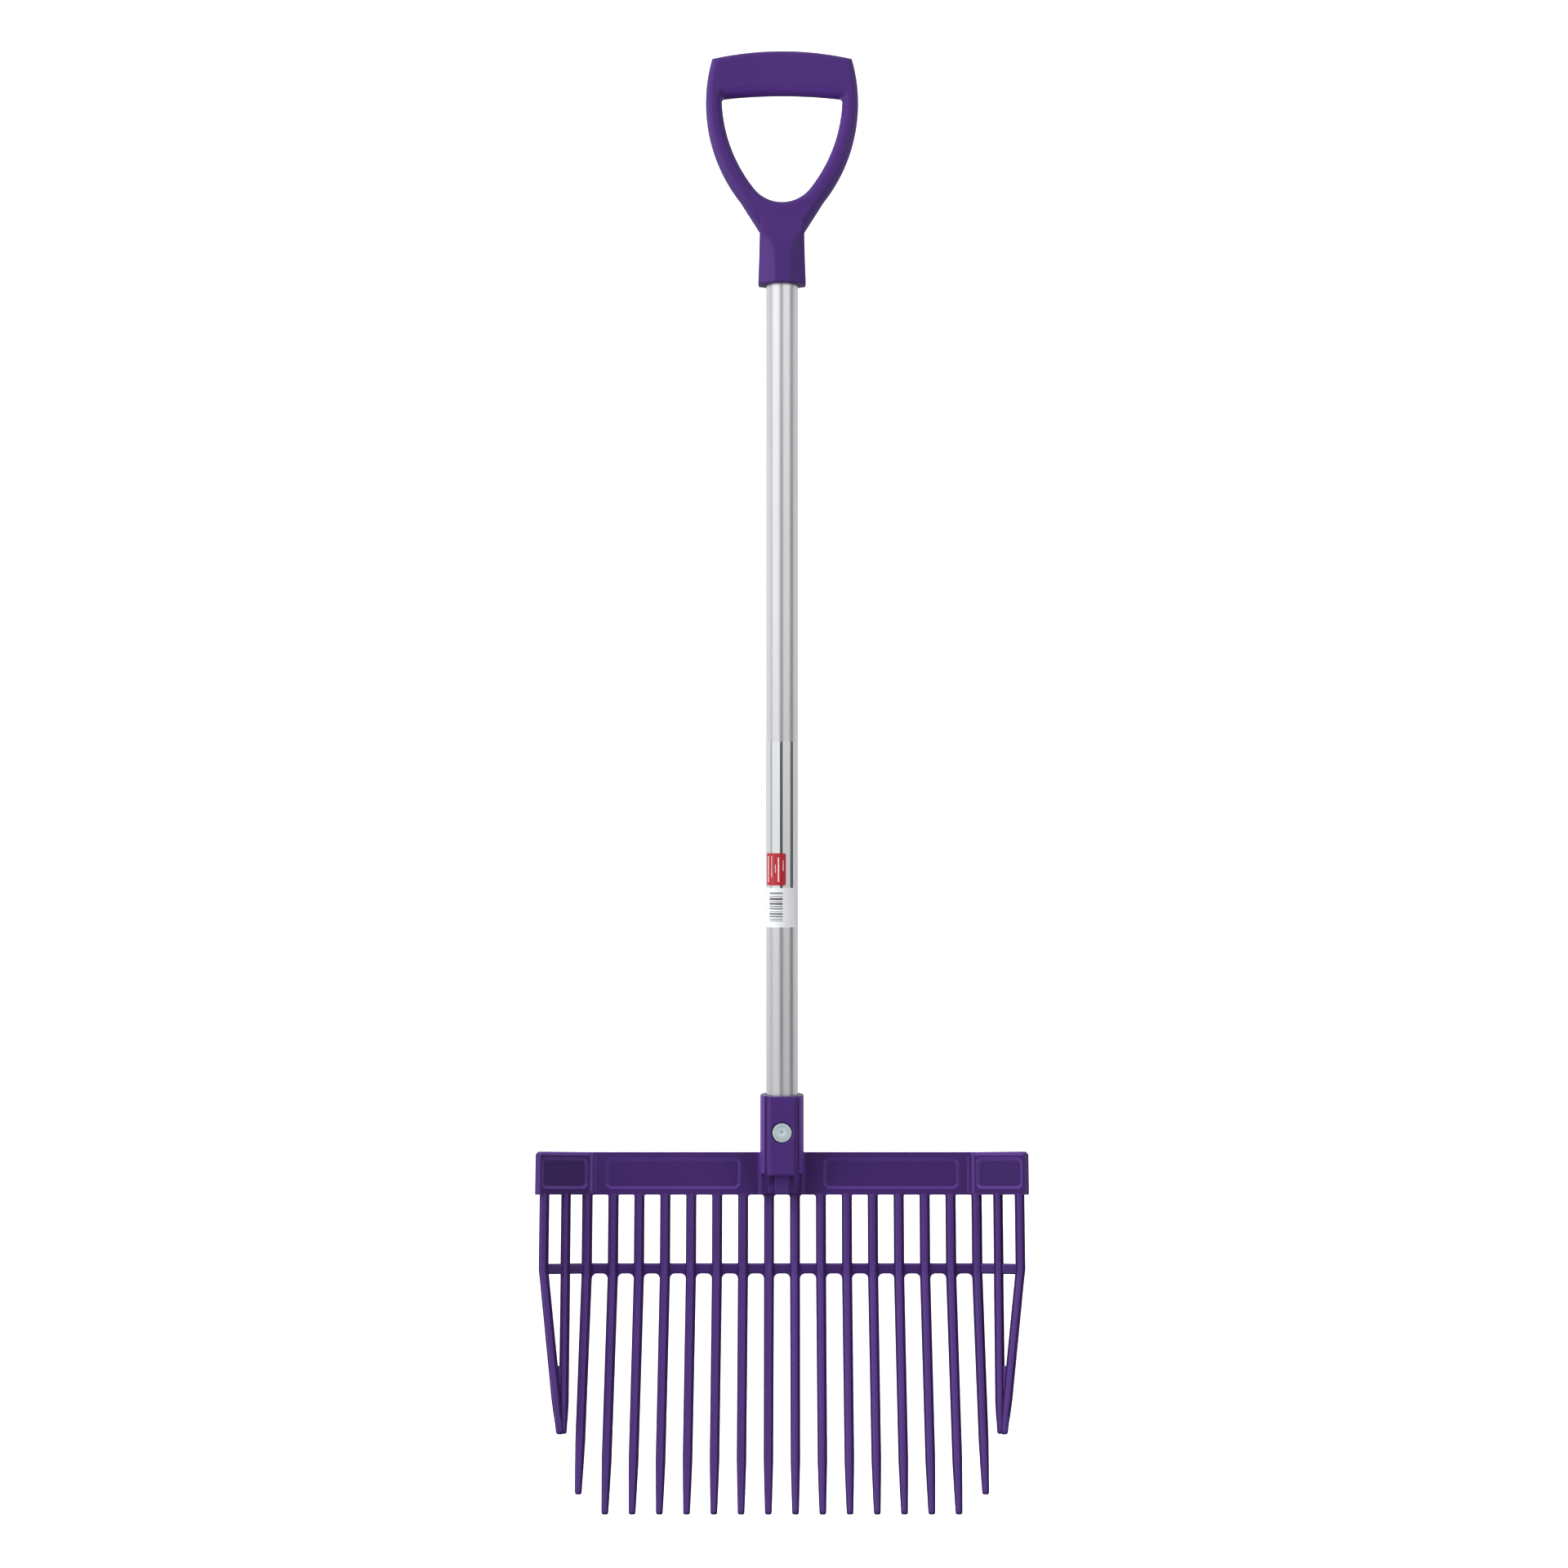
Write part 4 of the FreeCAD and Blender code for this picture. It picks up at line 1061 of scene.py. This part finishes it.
class BEDDINGFORK_OT_grip(bpy.types.Operator):
    """Model the moulded D-grip"""
    bl_idname = "beddingfork.grip"
    bl_label = "D-grip"

    def execute(self, context):
        grip, overrun, seat_y = context.scene.fork_grip, 0.02, 0.016
        bow, socket = shape_bow(grip), shape_grip_socket(grip)
        drill(socket, grip.bore, 4 * overrun, (0, 0, GRIP_FLOOR_Z - 2 * overrun), UPRIGHT, 64)
        drill(socket, grip.screw_seat / 2, overrun, (0, seat_y + overrun / 2, GRIP_SCREW_Z), sides=32)
        soften(socket, 0.0013, 26, 4)
        bow = join("grip_moulding", [bow, socket])
        smooth(bow, 40)
        lay(bow, "moulded_grip")

        def under_bar(face):
            """Whether a face of the front half looks down from the bar."""
            return (face.center.z > -0.055 and abs(face.center.x) < 0.046 and face.center.y < 0.0005
                    and face.normal.z < -0.22)
        touch_up(bow, "moulded_matt", lambda f: abs(f.normal.y) < 0.45)
        # painted light: lighter copies of the plastic on the faces under the bar, lightest where they face
        # furthest down
        touch_up(bow, "moulded_under_painted_light", under_bar)
        touch_up(bow, "moulded_low_painted_light", lambda f: under_bar(f) and f.normal.z <= -0.5)
        dress(bow, "moulding", "d_grip")
        return {"FINISHED"}


# Shaft, fasteners and label

class BEDDINGFORK_OT_shaft(bpy.types.Operator):
    """Model the drawn tube"""
    bl_idname = "beddingfork.shaft"
    bl_label = "Shaft tube"

    def execute(self, context):
        shaft = context.scene.fork_shaft
        low, high = (corner.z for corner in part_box("shaft_tube"))
        cylinder(128, shaft.tube_radius, high - low, (0, 0, (high + low) / 2))
        tube = begin("shaft_tube_drawn")
        pick("FACE", lambda f: f.normal.z > 0.9)
        bpy.ops.mesh.inset(thickness=shaft.tube_radius - shaft.tube_bore)
        extrude((0, 0, low - high + 0.002))
        pick("EDGE", lambda e: abs(direction(e).z) < 0.1 and abs(abs(middle(e).z) - (high - low) / 2) < NEAR
             and middle(e).xy.length > shaft.tube_radius - 0.0001)
        bevel(0.0003, 1)
        close(tube)
        smooth(tube)
        lay(tube, "drawn_aluminium")
        dress(tube, "tube", "shaft_tube")
        return {"FINISHED"}


def shape_bolt(shaft):
    """The bolt, head up on the origin, with a hexagon cone and a ring of nicks in its head."""
    face_z = shaft.bolt_head_height / 2
    cylinder(72, shaft.bolt_head / 2, shaft.bolt_head_height)
    bolt = begin("head_bolt_zinc")
    bevel_edges(lambda e: all(v.co.xy.length > shaft.bolt_head / 2 - NEAR and v.co.z > face_z - NEAR
                              for v in e.verts), 0.0005, 3)
    end()
    bpy.ops.mesh.primitive_cone_add(vertices=6, radius1=0.0001, radius2=0.0034, depth=0.0024,
                                    location=(0, 0, face_z - 0.0004))
    cut(bolt, bpy.context.object)
    for i in range(20):
        nick = close(block("nick", (0.0044, -0.00028, face_z - 0.0005), (0.0063, 0.00028, face_z + 0.001)))
        cut(bolt, settle(nick, Matrix.Rotation(radians(18 * i + 10), 4, "Z")))
    cylinder(40, shaft.bolt_shank / 2, shaft.bolt_length, (0, 0, -face_z - shaft.bolt_length / 2))
    shank = begin("shank")
    bevel_edges(lambda e: middle(e).z < -shaft.bolt_length / 2 + NEAR, 0.0008, 1)
    end()
    return join("head_bolt_zinc", [bolt, shank])


class BEDDINGFORK_OT_fasteners(bpy.types.Operator):
    """Model the bolt and finish the nut, its ring and the grip's screw"""
    bl_idname = "beddingfork.fasteners"
    bl_label = "Fasteners"

    def execute(self, context):
        shaft, socket = context.scene.fork_shaft, context.scene.fork_socket
        bolt_y = socket.bolt_recess_depth - socket.front - shaft.bolt_head_height / 2
        bolt = settle(shape_bolt(shaft), Matrix.Translation((0, bolt_y, BOLT_Z))
                      @ Matrix.Rotation(pi / 2, 4, "X"))
        smooth(bolt)
        lay(bolt, "zinc_plate")
        dress(bolt, "zinc", "head_bolt")
        for name, finish in (("head_nut", "zinc_plate"), ("nut_locking_ring", "nut_nylon"),
                             ("grip_screw", "zinc_plate")):
            lay(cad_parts[name], finish)
        return {"FINISHED"}


def bent_sheet(name, radius, from_degrees, to_degrees, low, high, count):
    """Part of a round wall; degrees run from the front, positive to the right."""
    cylinder(count, radius, high - low, (0, 0, (low + high) / 2), ends="NOTHING")
    sheet = begin(name)
    kept = radians(to_degrees - from_degrees)

    def outside(face):
        back_turn = radians(to_degrees) - atan2(middle(face).x, -middle(face).y)
        return back_turn % (2 * pi) > kept
    pick("FACE", outside)
    bpy.ops.mesh.delete(type="FACE")
    end()
    return settle(sheet)


def wrapped_patch(name, radius, thickness, from_degrees, to_degrees, low, high, corner=0):
    """A thin patch round the tube, with round corners if asked."""
    patch = bent_sheet(name, radius, from_degrees, to_degrees, low, high, 288 if corner else 144)
    ends = sorted(atan2(v.co.x, -v.co.y) for v in patch.data.vertices)
    for v in patch.data.vertices if corner else ():
        turned = atan2(v.co.x, -v.co.y)
        inwards = radius * min(turned - ends[0], ends[-1] - turned)
        if inwards < corner:
            drop = corner - sqrt(corner ** 2 - (corner - inwards) ** 2)
            v.co.z += -drop if v.co.z > (low + high) / 2 else drop
    modify(patch, "SOLIDIFY", thickness=thickness, offset=1.0)
    smooth(patch)
    return patch


class BEDDINGFORK_OT_label(bpy.types.Operator):
    """Model the label film with its plain block, and the paper sticker with plain bars"""
    bl_idname = "beddingfork.label"
    bl_label = "Label"

    def execute(self, context):
        shaft = context.scene.fork_shaft
        radius, film_low = shaft.tube_radius + 0.00005, FILM_TOP_Z - shaft.film_height
        over, sticker_low = radius + shaft.sheet + 0.00002, film_low + 0.0004
        film = wrapped_patch("label_film_clear", radius, shaft.sheet, -196, 54, film_low, FILM_TOP_Z)
        red = wrapped_patch("label_block", over, 0.00004, -67, 14, -0.6266, -0.6011, 0.0014)
        lines = [wrapped_patch("line", over + 0.00005, 0.00003, *ends)
                 for ends in ((-57, -52, -0.6240, -0.6035), (-41, -37, -0.6205, -0.6035),
                              (-26, -22, -0.6165, -0.6102), (-14, -10, -0.6237, -0.6045),
                              (3, 6, -0.6150, -0.6068))]
        sticker = wrapped_patch("sticker_paper", over + 0.0001, shaft.sheet, -70, 50, sticker_low,
                                sticker_low + shaft.sticker_height)
        bars, z = [], STICKER_BARS_Z
        # each bar's thickness and the gap below it, in millimetres
        for thick, gap in ((1.1, 1.6), (0.5, 1.0), (1.7, 0.9), (0.6, 0.8), (1.4, 1.1), (0.8, 0.9),
                           (0.9, 1.7), (0.5, 0.8), (1.2, 1.0), (0.9, 1.3), (0.6, 0.9), (0.5, 1.0)):
            bars.append(wrapped_patch("bar", over + 0.00032, 0.00002, -48, 2, z - thick * 0.001, z))
            z -= (thick + gap) * 0.001
        lines, bars = join("label_lines", lines), join("sticker_bars", bars)
        for piece, finish, slot, nodes in (
                (film, "label_film", "film", ["label_film"]), (red, "label_red", "film", []),
                (lines, "label_white", "film", []), (sticker, "sticker_paper", "paper", ["paper_sticker"]),
                (bars, "sticker_ink", "paper", [])):
            lay(piece, finish)
            dress(piece, slot, *nodes)
        return {"FINISHED"}


# Floor, lights and camera

def side_light(name, degrees, rise, distance, size, power):
    """A soft light at an angle round from the front, aimed at the tool's middle."""
    turned, up, aim = radians(degrees), radians(rise), Vector((0, 0, -0.6))
    place = aim + distance * Vector((sin(turned) * cos(up), -cos(turned) * cos(up), sin(up)))
    bpy.ops.object.light_add(type="AREA", location=place)
    light = bpy.context.object
    light.name = name
    light.data.shape = "RECTANGLE"
    light.data.size = size
    light.data.size_y = size * 1.6
    light.data.energy = power
    light.visible_glossy = False
    light.rotation_euler = (aim - place).to_track_quat("-Z", "Y").to_euler()


def unseen_by(piece, *rays):
    for ray in rays:
        setattr(piece, "visible_" + ray, False)


def glow_card(name, from_degrees, to_degrees, radius, low, high, low_tone, high_tone):
    """A glowing card bent round the tool, seen only in its reflections."""
    card = bent_sheet(name, radius, from_degrees, to_degrees, low, high, 72)
    shader = new_finish(name)
    set_inputs(shader, {"Emission Strength": by_height(shader, "Object", low, high, low_tone, high_tone),
                        "Emission Color": (1, 1, 1, 1), "Base Color": (0, 0, 0, 1), "Specular IOR Level": 0})
    lay(card, name)
    unseen_by(card, "camera", "diffuse", "shadow", "transmission")


def floor_sweep(settings):
    """The floor, which bends up into the backdrop."""
    bpy.ops.mesh.primitive_plane_add(size=1, location=(0, 0, settings.floor_z))
    floor = begin("floor_sweep")
    scale((14, 10, 1), (0, 0, settings.floor_z))
    pick_all()
    move((0, -1.4, 0))
    pick("EDGE", lambda e: all(v.co.y > 0 for v in e.verts))
    extrude((0, 0, 6.5))
    bevel_edges(lambda e: all(v.co.y > 0 and abs(v.co.z) < NEAR for v in e.verts), 1.6, 12)
    end()
    smooth(settle(floor), 60)
    lay(floor, "backdrop_paper")
    unseen_by(floor, "glossy", "diffuse", "shadow")


class BEDDINGFORK_OT_stage(bpy.types.Operator):
    """Set up the floor, the lights and the camera"""
    bl_idname = "beddingfork.stage"
    bl_label = "Floor, lights and camera"

    def execute(self, context):
        settings = context.scene.fork_stage
        floor_sweep(settings)
        # from and to in degrees, distance, low and high end, tone at each end
        glow_card("left_card", -76, -15, 2.2, -1.15, 1.0, 0.70, 1.36)
        glow_card("gap_card", -15, 4, 2.25, -1.3, 1.1, 0.0, 0.38)
        glow_card("right_card", 4, 60, 2.2, -1.15, 1.0, 0.48, 1.14)
        glow_card("side_gap_card", 60, 86, 2.25, -1.3, 1.1, 0.04, 0.34)
        glow_card("right_edge_card", 86, 180, 2.5, -1.12, 0.42, 0.60, 0.64)
        glow_card("left_edge_card", 180, 268, 2.5, -1.12, 0.42, 0.76, 0.86)
        side_light("key_light", -72, -2, 2.6, 1.4, 82)
        side_light("fill_light", 58, 4, 2.6, 1.4, 48)
        side_light("top_box", -48, 52, 3.5, 1.2, 100)
        world = bpy.data.worlds.new("studio")
        context.scene.world = world
        world.use_nodes = True
        backing = world.node_tree.nodes["Background"]
        set_inputs(backing, {"Strength": by_height(backing, "Generated", -0.7, 0.2, 0.32, 0.52),
                             "Color": (0.97, 0.98, 1.0, 1)})
        bpy.ops.object.camera_add(location=(0.00156, -settings.distance, settings.height), rotation=LYING)
        camera = bpy.context.object
        camera.name = "photo_camera"
        camera.data.sensor_width = 36
        camera.data.lens = 36 * settings.distance / 1.24416
        context.scene.camera = camera
        context.scene.view_settings.view_transform = "Standard"
        return {"FINISHED"}


class BEDDINGFORK_PT_panel(bpy.types.Panel):
    """Buttons for the bedding fork"""
    bl_idname = "BEDDINGFORK_PT_panel"
    bl_label = "Bedding fork"
    bl_space_type = "VIEW_3D"
    bl_region_type = "UI"
    bl_category = "Bedding fork"

    def draw(self, context):
        for operator in operators:
            self.layout.operator(operator.bl_idname)
        for name, group in groups.items():
            box = self.layout.box()
            box.label(text=group.__doc__)
            for prop in group.__annotations__:
                box.prop(getattr(context.scene, name), prop)


operators = (BEDDINGFORK_OT_finishes, BEDDINGFORK_OT_head, BEDDINGFORK_OT_grip, BEDDINGFORK_OT_shaft,
             BEDDINGFORK_OT_fasteners, BEDDINGFORK_OT_label, BEDDINGFORK_OT_stage)
groups = {"fork_head": HeadSizes, "fork_socket": SocketSizes, "fork_grip": GripSizes,
          "fork_shaft": ShaftSizes, "fork_finishes": Finishes, "fork_stage": StageSettings}


def register():
    for cls in (*groups.values(), *operators, BEDDINGFORK_PT_panel):
        bpy.utils.register_class(cls)
    for name, group in groups.items():
        setattr(bpy.types.Scene, name, PointerProperty(type=group))


def unregister():
    for name in groups:
        delattr(bpy.types.Scene, name)
    for cls in reversed((*groups.values(), *operators, BEDDINGFORK_PT_panel)):
        bpy.utils.unregister_class(cls)


def main():
    register()
    bpy.ops.beddingfork.finishes()
    bpy.ops.beddingfork.head()
    bpy.ops.beddingfork.grip()
    bpy.ops.beddingfork.shaft()
    bpy.ops.beddingfork.fasteners()
    bpy.ops.beddingfork.label()
    bpy.ops.beddingfork.stage()


if __name__ == "__main__":
    main()
